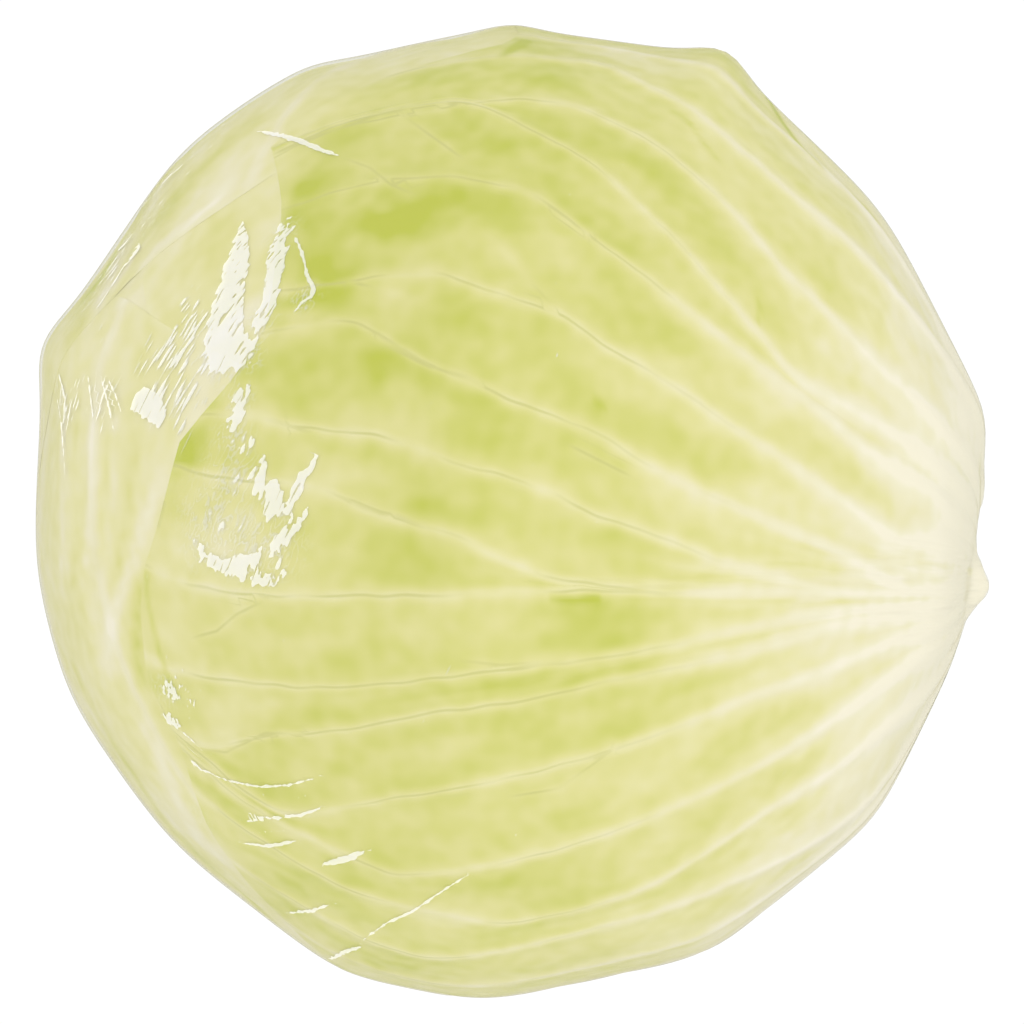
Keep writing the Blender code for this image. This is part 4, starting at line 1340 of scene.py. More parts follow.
# Where the film is crumpled, which brings out painted highlights in flecks and bright lines:
# pixel, radius, how much
CRUMPLES = (
    ((232, 480), 5.0, 1.0), ((215, 520), 6.0, 1.0), ((245, 545), 6.0, 1.0), ((240, 400), 2.6, 1.0),
    ((234, 440), 3.4, 1.0), ((272, 545), 5.0, 0.9), ((200, 545), 3.5, 1.0),
    ((285, 235), 3.0, 0.9), ((262, 320), 3.0, 1.0), ((250, 356), 3.0, 1.0), ((225, 370), 3.0, 1.0),
    ((305, 300), 2.5, 1.0), ((120, 250), 5.0, 0.9), ((150, 215), 6.0, 0.6),
    ((90, 310), 5.0, 0.6), ((165, 690), 3.0, 0.7), ((200, 815), 3.0, 0.4),
)

# Where the film has fine parallel streaks of painted highlight: pixel, radius, how much
STREAKY = (
    ((160, 395), 5.5, 1.1), ((172, 360), 6.0, 1.1), ((192, 330), 5.5, 1.05), ((152, 365), 5.0, 0.9),
    ((190, 395), 4.5, 1.1), ((178, 425), 3.2, 1.0), ((204, 362), 3.8, 1.0), ((188, 305), 4.0, 0.8),
    ((75, 400), 6.0, 0.7), ((105, 400), 5.0, 0.8), ((110, 270), 6.0, 0.8), ((150, 200), 7.0, 0.7),
    ((210, 150), 7.0, 0.4), ((280, 500), 4.0, 0.3), ((180, 690), 5.0, 0.6),
)


def polygon_gap(x, z, outline):
    """Distance to a closed outline in the photo's plane, negative inside it."""
    corners = np.array(outline, dtype=float)
    cx = (corners[:, 0] - PHOTO_CENTRE[0]) * PHOTO_SCALE
    cz = (PHOTO_CENTRE[1] - corners[:, 1]) * PHOTO_SCALE
    gap = np.full(x.shape, FAR)
    for index in range(len(cx)):
        x1, z1 = cx[index - 1], cz[index - 1]
        dx, dz = cx[index] - x1, cz[index] - z1
        part = np.clip(((x - x1) * dx + (z - z1) * dz) / (dx * dx + dz * dz), 0.0, 1.0)
        gap = np.minimum(gap, np.hypot(x - x1 - part * dx, z - z1 - part * dz))
    return np.where(inside_loop(x, z, cx, cz), -gap, gap)


def film_relief(directions, angle, azimuth, distance):
    """How far the film dips below the skin between the ribs and past the front leaf's margin,
    where distance is to that margin."""
    between_ribs = FILM_SHOWN_SHARE * rib_height(angle, FRONT_RIB_NEAR, FRONT_RIB_FAR)
    between_ribs = between_ribs * (1.0 - front_ridges(angle, azimuth))
    between_ribs = between_ribs * smooth(0.0, MARGIN_TAPER, distance)
    past_margin = smooth(*FILM_STEP_RISE, distance) * smooth(*FILM_STEP_DROP, distance)
    past_margin = FILM_SHOWN_STEP * past_margin * smooth(*FILM_STEP_FROM, angle)
    relief = np.maximum(between_ribs, past_margin)
    drop = downward(directions) * skin_radius(directions, film=True)
    past_floor, above_floor = FILM_FLAT_NEAR_FLOOR
    return relief * smooth(FLOOR_DISTANCE + past_floor, FLOOR_DISTANCE - above_floor, drop)


def film_grid():
    """Angles from the stem and azimuths of the film's mesh."""
    turns = np.array(FILM_COLUMNS, dtype=float)
    azimuth = np.interp(np.arange(turns[-1, 1]), turns[:, 1], turns[:, 0])
    reach = np.array(FILM_ROWS, dtype=float)
    angle = np.interp(np.arange(reach[-1, 1] + 1), reach[:, 1], reach[:, 0])
    angle, azimuth = np.meshgrid(angle, azimuth, indexing="ij")
    return angle, (azimuth + 180.0) % 360.0 - 180.0


def film_radius(directions, angle, azimuth, distance):
    """The film's radius: the skin less its relief and the pleats of its gathered end."""
    sway = PLEAT_SWAY * angle * np.sin(np.radians(PLEAT_SWAYS * azimuth))
    pleat = 0.5 - 0.5 * np.cos(np.radians(PLEATS * azimuth) + sway)
    pleat = PLEAT_HEIGHT * pleat * smooth(*PLEATS_TO, angle)
    relief = film_relief(directions, angle, azimuth, distance)
    return rested(directions, skin_radius(directions, film=True) - relief - pleat)


def taut_gap(directions):
    """Distance to the nearest taut patch of the film, negative inside it."""
    ball = directions * SEEN_RADIUS
    spread = CAMERA_DISTANCE / (CAMERA_DISTANCE + ball[..., 1])
    x, z = ball[..., 0] * spread, ball[..., 2] * spread
    gap = np.full(x.shape, TAUT_REACH)
    for outline in TAUT_HIGHLIGHT_PATCHES:
        gap = np.minimum(gap, polygon_gap(x, z, outline))
    return np.where(directions[..., 1] < TAUT_TO, gap, TAUT_REACH)


def nearest_crease(directions):
    """Signed distance to the film's nearest crease, and how wide that crease is there."""
    gap = np.full(directions.shape[:-1], CREASE_REACH)
    width = np.full(directions.shape[:-1], -CREASE_REACH)
    for route, half_width in CREASES:
        off, along = path_gap(directions, route, parts=4)
        taper = np.sqrt(np.clip(1.0 - (2.0 * along - 1.0) ** 2, 0.0, 1.0))
        nearer = np.abs(off) < np.abs(gap)
        gap = np.where(nearer, off, gap)
        width = np.where(nearer, half_width * taper, width)
    return gap, width


def most_of(directions, spots):
    """The most that any of some soft spots gives at each place."""
    most = np.zeros(directions.shape[:-1])
    for pixel, radius, much in spots:
        most = np.maximum(most, much * spot(directions, pixel, radius))
    return most


def film_marks(directions):
    """What is measured on the film, and the value of each where its mesh closes."""
    crease_gap, crease_width = nearest_crease(directions)
    slack = 1.0 - smooth(*SLACK_X, directions[..., 0])
    slack = slack * (1.0 - smooth(*SLACK_Y, directions[..., 1]))
    return {
        "taut_gap": (taut_gap(directions), TAUT_REACH),
        "crease_gap": (crease_gap, CREASE_REACH),
        "crease_width": (crease_width, -CREASE_REACH),
        "crumple": (most_of(directions, CRUMPLES), 0.0),
        "streaky": (most_of(directions, STREAKY), 0.0),
        "slack": (slack, 0.0),
    }


def film_shell(directions, radius):
    """Vertices and faces of the film: two balls, one in the other, joined round the opening."""
    rows, columns = radius.shape
    count = radius.size
    outer = (directions * radius[..., None]).reshape(-1, 3)
    inner = (directions * (radius - FILM_SHOWN_THICKNESS)[..., None]).reshape(-1, 3)
    crown = -STEM * resting_radius(-STEM[None, :], film=True)[0]
    crown_inner = crown * (1.0 - FILM_SHOWN_THICKNESS / np.linalg.norm(crown))
    vertices = np.concatenate([outer, crown[None, :], inner, crown_inner[None, :]])
    faces = ball_faces(rows, columns, 0, None, count)
    faces += [face[::-1] for face in ball_faces(rows, columns, count + 1, None, 2 * count + 1)]
    for column in range(columns):
        following = (column + 1) % columns
        faces.append((following, column, count + 1 + column, count + 1 + following))
    return vertices, faces


def film_piece(grids, material, inner_material):
    """The clear film: one closed wall, with its gathered opening over the cut stem."""
    angle, azimuth = film_grid()
    directions = from_stem(angle, azimuth)
    distance = margin_distance(directions, grids[0])
    vertices, faces = film_shell(directions, film_radius(directions, angle, azimuth, distance))
    measures = {}
    for measure, (values, at_crown) in film_marks(directions).items():
        once = np.append(values.ravel(), at_crown)
        measures[measure] = np.concatenate([once, once])
    piece = add_piece("clear_film", vertices, faces, material, measures)
    piece.data.materials.append(inner_material)
    outer_faces = angle.size
    for polygon in piece.data.polygons[outer_faces:2 * outer_faces]:
        polygon.material_index = 1
    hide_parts("film_wrap")
    return piece


def stem_profile():
    """Heights above the seat and radii of the cut stem, from its hidden end to its face."""
    corner = np.linspace(0.0, 0.5 * math.pi, STEM_ROUNDING)
    top_radius = STEM_RADIUS - STEM_TAPER - STEM_EDGE
    hidden, shown = STEM_INNERMOST_RINGS
    end_radii = np.linspace(hidden, STEM_RADIUS - STEM_EDGE, STEM_HIDDEN_RINGS)
    points = [(STEM_GAP, radius) for radius in end_radii]
    for turn in corner[1:]:
        points.append((
            STEM_GAP + STEM_EDGE * (1.0 - math.cos(turn)),
            STEM_RADIUS - STEM_EDGE * (1.0 - math.sin(turn)),
        ))
    for turn in corner:
        points.append((
            STEM_LENGTH - STEM_EDGE * (1.0 - math.sin(turn)),
            top_radius + STEM_EDGE * math.cos(turn),
        ))
    for radius in np.linspace(top_radius, shown, STEM_FACE_RINGS)[1:]:
        points.append((STEM_LENGTH - STEM_HOLLOW * (1.0 - (radius / top_radius) ** 2), radius))
    return np.array(points)


def cut_stem_piece(material):
    """The stub of the stem, with the marks of the knife across its face."""
    profile = stem_profile()
    turns = np.radians(np.arange(STEM_SEGMENTS) * 360.0 / STEM_SEGMENTS)
    height, turn = np.meshgrid(profile[:, 0], turns, indexing="ij")
    radius = np.broadcast_to(profile[:, 1][:, None], height.shape).copy()
    below, above = CUT_MARKS_FROM
    face = smooth(STEM_LENGTH - below, STEM_LENGTH - above, height)
    face = face * (radius < STEM_RADIUS - CUT_MARKS_RIM)
    sway, sway_pitch = KNIFE_SWAY
    sway = sway * np.sin(radius * np.sin(turn) * sway_pitch)
    marks = np.sin(radius * np.cos(turn - KNIFE_TURN) * KNIFE_MARKS_PER_MM + sway)
    height = height - CUT_MARKS * face * (0.5 + 0.5 * marks)
    within, without = STEM_FLUTES_FROM
    side = smooth(STEM_RADIUS - within, STEM_RADIUS - without, radius)
    radius = radius - STEM_FLUTE_DEPTH * side * (0.5 + 0.5 * np.sin(turn * STEM_FLUTES))
    across = np.cos(turn)[..., None] * FRONT + np.sin(turn)[..., None] * UPPER
    rings = (SEAT_DISTANCE + height)[..., None] * STEM + radius[..., None] * across
    ends = [(SEAT_DISTANCE + STEM_GAP) * STEM, (SEAT_DISTANCE + STEM_LENGTH - STEM_HOLLOW) * STEM]
    vertices = np.concatenate([rings.reshape(-1, 3), np.array(ends)])
    rows = len(profile)
    pole = rows * STEM_SEGMENTS
    faces = [face[::-1] for face in ball_faces(rows, STEM_SEGMENTS, 0, pole, pole + 1)]
    from_axis = np.append(radius.ravel(), [0.0, 0.0])
    piece = add_piece("cut_stem_stub", vertices, faces, material, {"from_axis": from_axis})
    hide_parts("cut_stem")
    return piece


def bundle_tree(material):
    """Geometry Nodes: the stem's ring of fibre bundles, standing a little out of its cut face."""
    tree = bpy.data.node_groups.new("ring of fibre bundles", "GeometryNodeTree")
    for name, kind in (
        ("Geometry", "Geometry"), ("Bundles", "Int"), ("Ring radius", "Float"),
        ("Bundle size", "Vector"), ("Seed", "Int"),
    ):
        tree.interface.new_socket(name, in_out="INPUT", socket_type="NodeSocket" + kind)
    tree.interface.new_socket("Geometry", in_out="OUTPUT", socket_type="NodeSocketGeometry")
    given = add_node(tree, "NodeGroupInput").outputs
    ring = add_node(
        tree, "GeometryNodeMeshCircle",
        links={"Vertices": given["Bundles"], "Radius": given["Ring radius"]},
    )
    far = BUNDLE_SHIFT * METRES
    shift = add_node(
        tree, "FunctionNodeRandomValue", {"Min": (-far, -far, 0.0), "Max": (far, far, 0.0)},
        {"Seed": given["Seed"]}, data_type="FLOAT_VECTOR",
    )
    places = add_node(
        tree, "GeometryNodeSetPosition",
        links={"Geometry": ring.outputs["Mesh"], "Offset": shift.outputs["Value"]},
    )
    bundle = add_node(tree, "GeometryNodeMeshIcoSphere", {"Radius": 1.0, "Subdivisions": 3})
    position = add_node(tree, "GeometryNodeInputPosition")
    outward = add_node(
        tree, "FunctionNodeAlignRotationToVector",
        links={"Vector": position.outputs["Position"]}, axis="Y", pivot_axis="Z",
    )
    much = add_node(
        tree, "FunctionNodeRandomValue", {2: BUNDLE_SPREAD[0], 3: BUNDLE_SPREAD[1]},
        {"Seed": given["Seed"]}, data_type="FLOAT",
    )
    size = add_node(
        tree, "ShaderNodeVectorMath",
        links={0: given["Bundle size"], 3: much.outputs[1]}, operation="SCALE",
    )
    bundles = add_node(
        tree, "GeometryNodeInstanceOnPoints",
        links={
            "Points": places.outputs["Geometry"], "Instance": bundle.outputs["Mesh"],
            "Rotation": outward.outputs["Rotation"], "Scale": size.outputs["Vector"],
        },
    )
    real = add_node(
        tree, "GeometryNodeRealizeInstances", links={"Geometry": bundles.outputs["Instances"]},
    )
    dressed = add_node(
        tree, "GeometryNodeSetMaterial", {"Material": material},
        {"Geometry": real.outputs["Geometry"]},
    )
    add_node(tree, "NodeGroupOutput", links={"Geometry": dressed.outputs["Geometry"]})
    return tree


def bundles_piece(material):
    """The ring of fibre bundles, made by Geometry Nodes and then set on the stem's face."""
    tree = bundle_tree(material)
    seed_mesh = bpy.data.meshes.new("bundle seed")
    holder = bpy.data.objects.new("bundle seed", seed_mesh)
    bpy.context.scene.collection.objects.link(holder)
    modifier = holder.modifiers.new("bundles", "NODES")
    modifier.node_group = tree
    wanted = {
        "Bundles": BUNDLES,
        "Ring radius": BUNDLE_RING * METRES,
        "Bundle size": [size * METRES for size in BUNDLE_SIZE],
        "Seed": SEED,
    }
    for socket in tree.interface.items_tree:
        if socket.in_out == "INPUT" and socket.name in wanted:
            modifier[socket.identifier] = wanted[socket.name]
    seed_mesh.update()
    bpy.context.view_layer.update()
    graph = bpy.context.evaluated_depsgraph_get()
    mesh = bpy.data.meshes.new_from_object(holder.evaluated_get(graph))
    bpy.data.objects.remove(holder)
    points = np.array([vertex.co for vertex in mesh.vertices]) / METRES
    height = SEAT_DISTANCE + STEM_LENGTH - STEM_HOLLOW * (1.0 - (BUNDLE_RING / STEM_RADIUS) ** 2)
    vertices = (height + points[:, 2])[:, None] * STEM
    vertices = vertices + points[:, 0][:, None] * FRONT + points[:, 1][:, None] * UPPER
    faces = [tuple(face.vertices) for face in mesh.polygons]
    piece = add_piece("fibre_bundles", vertices, faces, material)
    return piece


def grain(size):
    """Noise scale on Object coordinates for a grain size in millimetres."""
    return 1.0 / (size * METRES)


def new_material(name):
    """A material with an empty tree of nodes, and that tree."""
    material = bpy.data.materials.new(name)
    material.use_nodes = True
    material.node_tree.nodes.clear()
    return material, material.node_tree


def leaf_skin(tree, measured, blotches, flecks, mottling):
    """A leaf's colour from how green it is, its painted shade, its ribs' bands, its blotches and
    its flecks.
    """
    ragged = add_node(
        tree, "ShaderNodeMapRange",
        {
            "From Min": RAGGED_LEVELS[0], "From Max": RAGGED_LEVELS[1],
            "To Min": RAGGED_SHARES[0], "To Max": RAGGED_SHARES[1],
        },
        {"Value": blotches},
    ).outputs[0]
    band = add_node(
        tree, "ShaderNodeMath", links={0: measured["rib_band"], 1: ragged}, operation="MULTIPLY",
    ).outputs[0]
    green = add_node(
        tree, "ShaderNodeMath", links={0: measured["greenness_and_shade"], 1: band}, operation="SUBTRACT",
    ).outputs[0]
    for source, strength in ((blotches, mottling), (flecks, FLECK_SHARE * mottling)):
        off = add_node(tree, "ShaderNodeMath", {1: 0.5}, {0: source}, operation="SUBTRACT")
        green = add_node(
            tree, "ShaderNodeMath", {1: strength}, {0: off.outputs[0], 2: green},
            operation="MULTIPLY_ADD",
        ).outputs[0]
    share = add_node(
        tree, "ShaderNodeMath", {1: 1.0 / GREENEST}, {0: green}, operation="MULTIPLY",
    ).outputs[0]
    return add_node(
        tree, "ShaderNodeValToRGB", links={"Fac": share},
        stops=tuple((level / GREENEST, colour) for level, colour in LEAF_COLOURS),
    ).outputs[0]


def leaf_thread(tree, measured, blotches):
    """How much of the dark thread along a leaf's lines there is at each place."""
    off_line = add_node(
        tree, "ShaderNodeMath", links={0: measured["line_gap"]}, operation="ABSOLUTE",
    ).outputs[0]
    thread = add_node(
        tree, "ShaderNodeMapRange",
        {"From Min": THREAD_FADES[0], "From Max": THREAD_FADES[1], "To Min": 1.0, "To Max": 0.0},
        {"Value": off_line}, interpolation_type="SMOOTHSTEP",
    ).outputs[0]
    shown = add_node(
        tree, "ShaderNodeMapRange", {"From Min": THREADS_SHOWN[0], "From Max": THREADS_SHOWN[1]},
        {"Value": blotches},
    ).outputs[0]
    shown = add_node(
        tree, "ShaderNodeMath", links={0: shown, 1: measured["line_dark"]}, operation="MULTIPLY",
    ).outputs[0]
    return add_node(
        tree, "ShaderNodeMath", links={0: thread, 1: shown}, operation="MULTIPLY",
    ).outputs[0]


def leaf_material(name, mottling, margin_paleness):
    """A living cabbage leaf: a waxy skin over green and cream flesh. How green it is follows the
    measured blade, ribs and margin, with painted shade in some streaks and spots of the front
    leaf, blotches drawn out along the ribs, dark threads along stretches of the ribs' middles, and
    a bump for the blotches."""
    material, tree = new_material(name)
    flow = add_node(tree, "ShaderNodeUVMap", uv_map="flow").outputs[0]
    place = add_node(tree, "ShaderNodeTexCoord").outputs["Object"]
    stretched = add_node(
        tree, "ShaderNodeMapping", {"Scale": (1.0, BLOTCH_ALONG, 1.0)}, {"Vector": flow},
    ).outputs[0]
    measured = {}
    for measure in ("greenness_and_shade", "rib_band", "line_gap", "line_dark", "edge_gap"):
        node = add_node(tree, "ShaderNodeAttribute", attribute_name=measure)
        measured[measure] = node.outputs["Fac"]
    blotches = add_node(
        tree, "ShaderNodeTexNoise",
        {"Scale": FLOW_UNIT / BLOTCH_SIZE, "Detail": 1.0, "Roughness": 0.62},
        {"Vector": stretched}, noise_dimensions="2D",
    ).outputs[0]
    flecks = add_node(
        tree, "ShaderNodeTexNoise", {"Scale": grain(LEAF_FLECK_SIZE), "Detail": 0.0},
        {"Vector": place},
    ).outputs[0]

    colour = leaf_skin(tree, measured, blotches, flecks, mottling)
    edge = add_node(
        tree, "ShaderNodeMapRange",
        {"From Min": MARGIN_FADES[0], "From Max": MARGIN_FADES[1], "To Min": 1.0, "To Max": 0.0},
        {"Value": measured["edge_gap"]}, interpolation_type="SMOOTHSTEP",
    ).outputs[0]
    thread = leaf_thread(tree, measured, blotches)
    for amount, most, tint in (
        (edge, margin_paleness, PALE), (thread, THREAD_DARKNESS, LINE_GREEN),
    ):
        part = add_node(
            tree, "ShaderNodeMath", {1: most}, {0: amount}, operation="MULTIPLY",
        ).outputs[0]
        colour = add_node(
            tree, "ShaderNodeMix", {7: linear(tint)}, {0: part, 6: colour}, data_type="RGBA",
        ).outputs[2]

    bump = add_node(
        tree, "ShaderNodeBump", {"Strength": 1.0, "Distance": LEAF_BUMP * METRES},
        {"Height": blotches},
    ).outputs[0]
    roughness = add_node(
        tree, "ShaderNodeMapRange", {"To Min": LEAF_ROUGHNESS[0], "To Max": LEAF_ROUGHNESS[1]},
        {"Value": flecks},
    ).outputs[0]
    shader = add_node(
        tree, "ShaderNodeBsdfPrincipled", {"IOR": LEAF_IOR},
        {"Base Color": colour, "Roughness": roughness, "Normal": bump}, distribution="GGX",
    ).outputs[0]
    add_node(tree, "ShaderNodeOutputMaterial", links={"Surface": shader})
    return material


def mirror_facing():
    """World direction that the film's painted highlights are turned to face, so that they
    mirror the soft light to the view.
    """
    toward = in_the_world(unit(np.array(SOFT_LIGHT_TOWARD))) - in_the_world(np.zeros(3))
    viewer = in_the_world(np.array([0.0, -1.0, 0.0])) - in_the_world(np.zeros(3))
    return unit(toward + viewer)


def film_patterns(tree):
    """The film's flecks and its fine parallel streaks, both drawn out along its lean."""
    place = add_node(tree, "ShaderNodeTexCoord").outputs["Object"]
    patterns = []
    for stretch, size, detail in (
        (FLECK_STRETCH, FILM_FLECK_SIZE, 1.0), (STREAK_STRETCH, FILM_STREAK_SIZE, 0.0),
    ):
        drawn = add_node(
            tree, "ShaderNodeMapping",
            {"Rotation": (0.0, math.radians(STREAK_LEAN), 0.0), "Scale": (1.0, 1.0, stretch)},
            {"Vector": place}, vector_type="TEXTURE",
        ).outputs[0]
        pattern = add_node(
            tree, "ShaderNodeTexNoise", {"Scale": grain(size), "Detail": detail},
            {"Vector": drawn},
        ).outputs[0]
        patterns.append(pattern)
    return patterns


def taut_patches(tree, measured, off_middle, streaks):
    """The painted highlight patches, with torn edges and the holes that streaks leave in them."""
    how_torn = add_node(
        tree, "ShaderNodeMath", {1: TORN_WHERE_CRUMPLED, 2: TORN_EDGE},
        {0: measured["crumple"]}, operation="MULTIPLY_ADD",
    ).outputs[0]
    past = add_node(
        tree, "ShaderNodeMath", links={0: off_middle, 1: how_torn, 2: measured["taut_gap"]},
        operation="MULTIPLY_ADD",
    ).outputs[0]
    taut = add_node(
        tree, "ShaderNodeMapRange",
        {"From Min": TAUT_EDGE[0], "From Max": TAUT_EDGE[1], "To Min": 1.0, "To Max": 0.0},
        {"Value": past},
    ).outputs[0]
    whole = add_node(
        tree, "ShaderNodeMapRange", {"From Min": HOLES_CLOSE[0], "From Max": HOLES_CLOSE[1]},
        {"Value": streaks},
    ).outputs[0]
    return add_node(
        tree, "ShaderNodeMath", links={0: taut, 1: whole}, operation="MULTIPLY",
    ).outputs[0]


def creases(tree, measured, off_middle):
    """The painted highlights along narrow creases, with edges torn a little."""
    off_crease = add_node(
        tree, "ShaderNodeMath", links={0: measured["crease_gap"]}, operation="ABSOLUTE",
    ).outputs[0]
    off_crease = add_node(
        tree, "ShaderNodeMath", {1: CREASE_TORN}, {0: off_middle, 2: off_crease},
        operation="MULTIPLY_ADD",
    ).outputs[0]
    within = add_node(
        tree, "ShaderNodeMath", links={0: measured["crease_width"], 1: off_crease},
        operation="SUBTRACT",
    ).outputs[0]
    return add_node(
        tree, "ShaderNodeMapRange", {"From Min": CREASE_EDGE[0], "From Max": CREASE_EDGE[1]},
        {"Value": within},
    ).outputs[0]


def bright_lines(tree, measured, off_middle):
    """The painted highlights of crumpled film in thin winding lines, along the flecks' middle
    level.
    """
    off_line = add_node(
        tree, "ShaderNodeMath", links={0: off_middle}, operation="ABSOLUTE",
    ).outputs[0]
    line = add_node(
        tree, "ShaderNodeMapRange",
        {
            "From Min": BRIGHT_LINES[0], "From Max": BRIGHT_LINES[1],
            "To Min": BRIGHT_LINES_MIRROR, "To Max": 0.0,
        },
        {"Value": off_line},
    ).outputs[0]
    return add_node(
        tree, "ShaderNodeMath", links={0: line, 1: measured["crumple"]}, operation="MULTIPLY",
    ).outputs[0]


def raised_pattern(tree, much, pattern, raise_by, level):
    """The parts of a pattern that are painted highlights, more of them the more a place is
    crumpled or streaky.
    """
    raised = add_node(
        tree, "ShaderNodeMath", {1: raise_by}, {0: much, 2: pattern}, operation="MULTIPLY_ADD",
    ).outputs[0]
    return add_node(
        tree, "ShaderNodeMapRange", {"From Min": level, "From Max": level + SHOWN_OVER},
        {"Value": raised},
    ).outputs[0]


def film_painted_highlights(tree, measured):
    """How much painted highlight each place of the film has, 0 to 1: how far it turns to mirror
    the soft light, and how much more it mirrors.
    """
    flecks, streaks = film_patterns(tree)
    off_middle = add_node(
        tree, "ShaderNodeMath", {1: 0.5}, {0: flecks}, operation="SUBTRACT",
    ).outputs[0]
    mirror = taut_patches(tree, measured, off_middle, streaks)
    for part in (
        creases(tree, measured, off_middle),
        bright_lines(tree, measured, off_middle),
        raised_pattern(tree, measured["crumple"], flecks, *FLECKS_SHOWN),
        raised_pattern(tree, measured["streaky"], streaks, *STREAKS_SHOWN),
    ):
        mirror = add_node(
            tree, "ShaderNodeMath", links={0: mirror, 1: part}, operation="MAXIMUM",
        ).outputs[0]
    return mirror


def film_normal(tree, slack, mirror):
    """Which way the film's shading normal points: leaning where it is slack, and turned to the soft
    light in the painted highlights."""
    smooth_course = add_node(tree, "ShaderNodeNewGeometry").outputs["Normal"]
    lean = add_node(
        tree, "ShaderNodeMath", {1: LEAN}, {0: slack}, operation="MULTIPLY",
    ).outputs[0]
    leaning = add_node(
        tree, "ShaderNodeMix", {5: LEAN_TOWARD}, {0: lean, 4: smooth_course}, data_type="VECTOR",
    ).outputs[1]
    turn = add_node(
        tree, "ShaderNodeMath", {1: TURN_TO_LIGHT}, {0: mirror}, operation="MULTIPLY",
    ).outputs[0]
    # In the painted highlights the normal is turned to a fixed direction that mirrors the soft
    # light to the view.
    turned = add_node(
        tree, "ShaderNodeMix", {5: tuple(mirror_facing())}, {0: turn, 4: leaning},
        data_type="VECTOR",
    ).outputs[1]
    return add_node(
        tree, "ShaderNodeVectorMath", links={0: turned}, operation="NORMALIZE",
    ).outputs[0]


def film_material():
    """Clear polyethylene film, blown thin and drawn tight by hand: it is seen by what it mirrors,
    and by a tint along the outline that is partly its own and partly painted shade. Its shading
    normal leans away from the soft light everywhere near the light's mirror place, and faces it,
    mirroring far more, in painted highlights: torn-edged taut patches, creases, fine parallel
    streaks and the flecks of the crumpled places."""
    material, tree = new_material("clear polyethylene film, blown and stretched")
    measured = {}
    for measure in ("taut_gap", "crease_gap", "crease_width", "crumple", "streaky", "slack"):
        node = add_node(tree, "ShaderNodeAttribute", attribute_name=measure)
        measured[measure] = node.outputs["Fac"]
    mirror = film_painted_highlights(tree, measured)
    gloss = add_node(
        tree, "ShaderNodeBsdfGlossy", {"Color": WHITE, "Roughness": FILM_ROUGHNESS},
        {"Normal": film_normal(tree, measured["slack"], mirror)}, distribution="GGX",
    ).outputs[0]
    facing = add_node(tree, "ShaderNodeLayerWeight", {"Blend": 0.5}).outputs["Facing"]
    # The film's tint at a slant, partly painted shade along the outline.
    through = add_node(
        tree, "ShaderNodeValToRGB", links={"Fac": facing}, stops=FILM_TINTS_AND_RIM_SHADE,
    ).outputs[0]
    clear = add_node(tree, "ShaderNodeBsdfTransparent", links={"Color": through}).outputs[0]
    grazing = add_node(
        tree, "ShaderNodeMath", {1: 5.0}, {0: facing}, operation="POWER",
    ).outputs[0]
    mirrored = add_node(
        tree, "ShaderNodeMath", {1: FILM_MIRRORED_ALONG, 2: FILM_MIRRORED}, {0: grazing},
        operation="MULTIPLY_ADD",
    ).outputs[0]
    # Painted highlights: the film mirrors far more there.
    mirrored = add_node(
        tree, "ShaderNodeMath", {1: PAINTED_HIGHLIGHT_SHARE}, {0: mirror, 2: mirrored},
        operation="MULTIPLY_ADD",
    ).outputs[0]
    seen_film = add_node(
        tree, "ShaderNodeMixShader", links={0: mirrored, 1: clear, 2: gloss},
    ).outputs[0]
    lamp_clear = add_node(
        tree, "ShaderNodeBsdfTransparent", {"Color": linear(FILM_TINTS_AND_RIM_SHADE[0][1])},
    ).outputs[0]
    lamp_ray = add_node(tree, "ShaderNodeLightPath").outputs["Is Shadow Ray"]
    shader = add_node(
        tree, "ShaderNodeMixShader", links={0: lamp_ray, 1: seen_film, 2: lamp_clear},
    ).outputs[0]
    add_node(tree, "ShaderNodeOutputMaterial", links={"Surface": shader})
    return material


def film_inside_material():
    """The film's inner face, wet against the leaf, so that it mirrors nothing."""
    material, tree = new_material("clear polyethylene film, inner face on the leaf")
    clear = add_node(tree, "ShaderNodeBsdfTransparent", {"Color": WHITE})
    add_node(tree, "ShaderNodeOutputMaterial", links={"Surface": clear.outputs[0]})
    return material


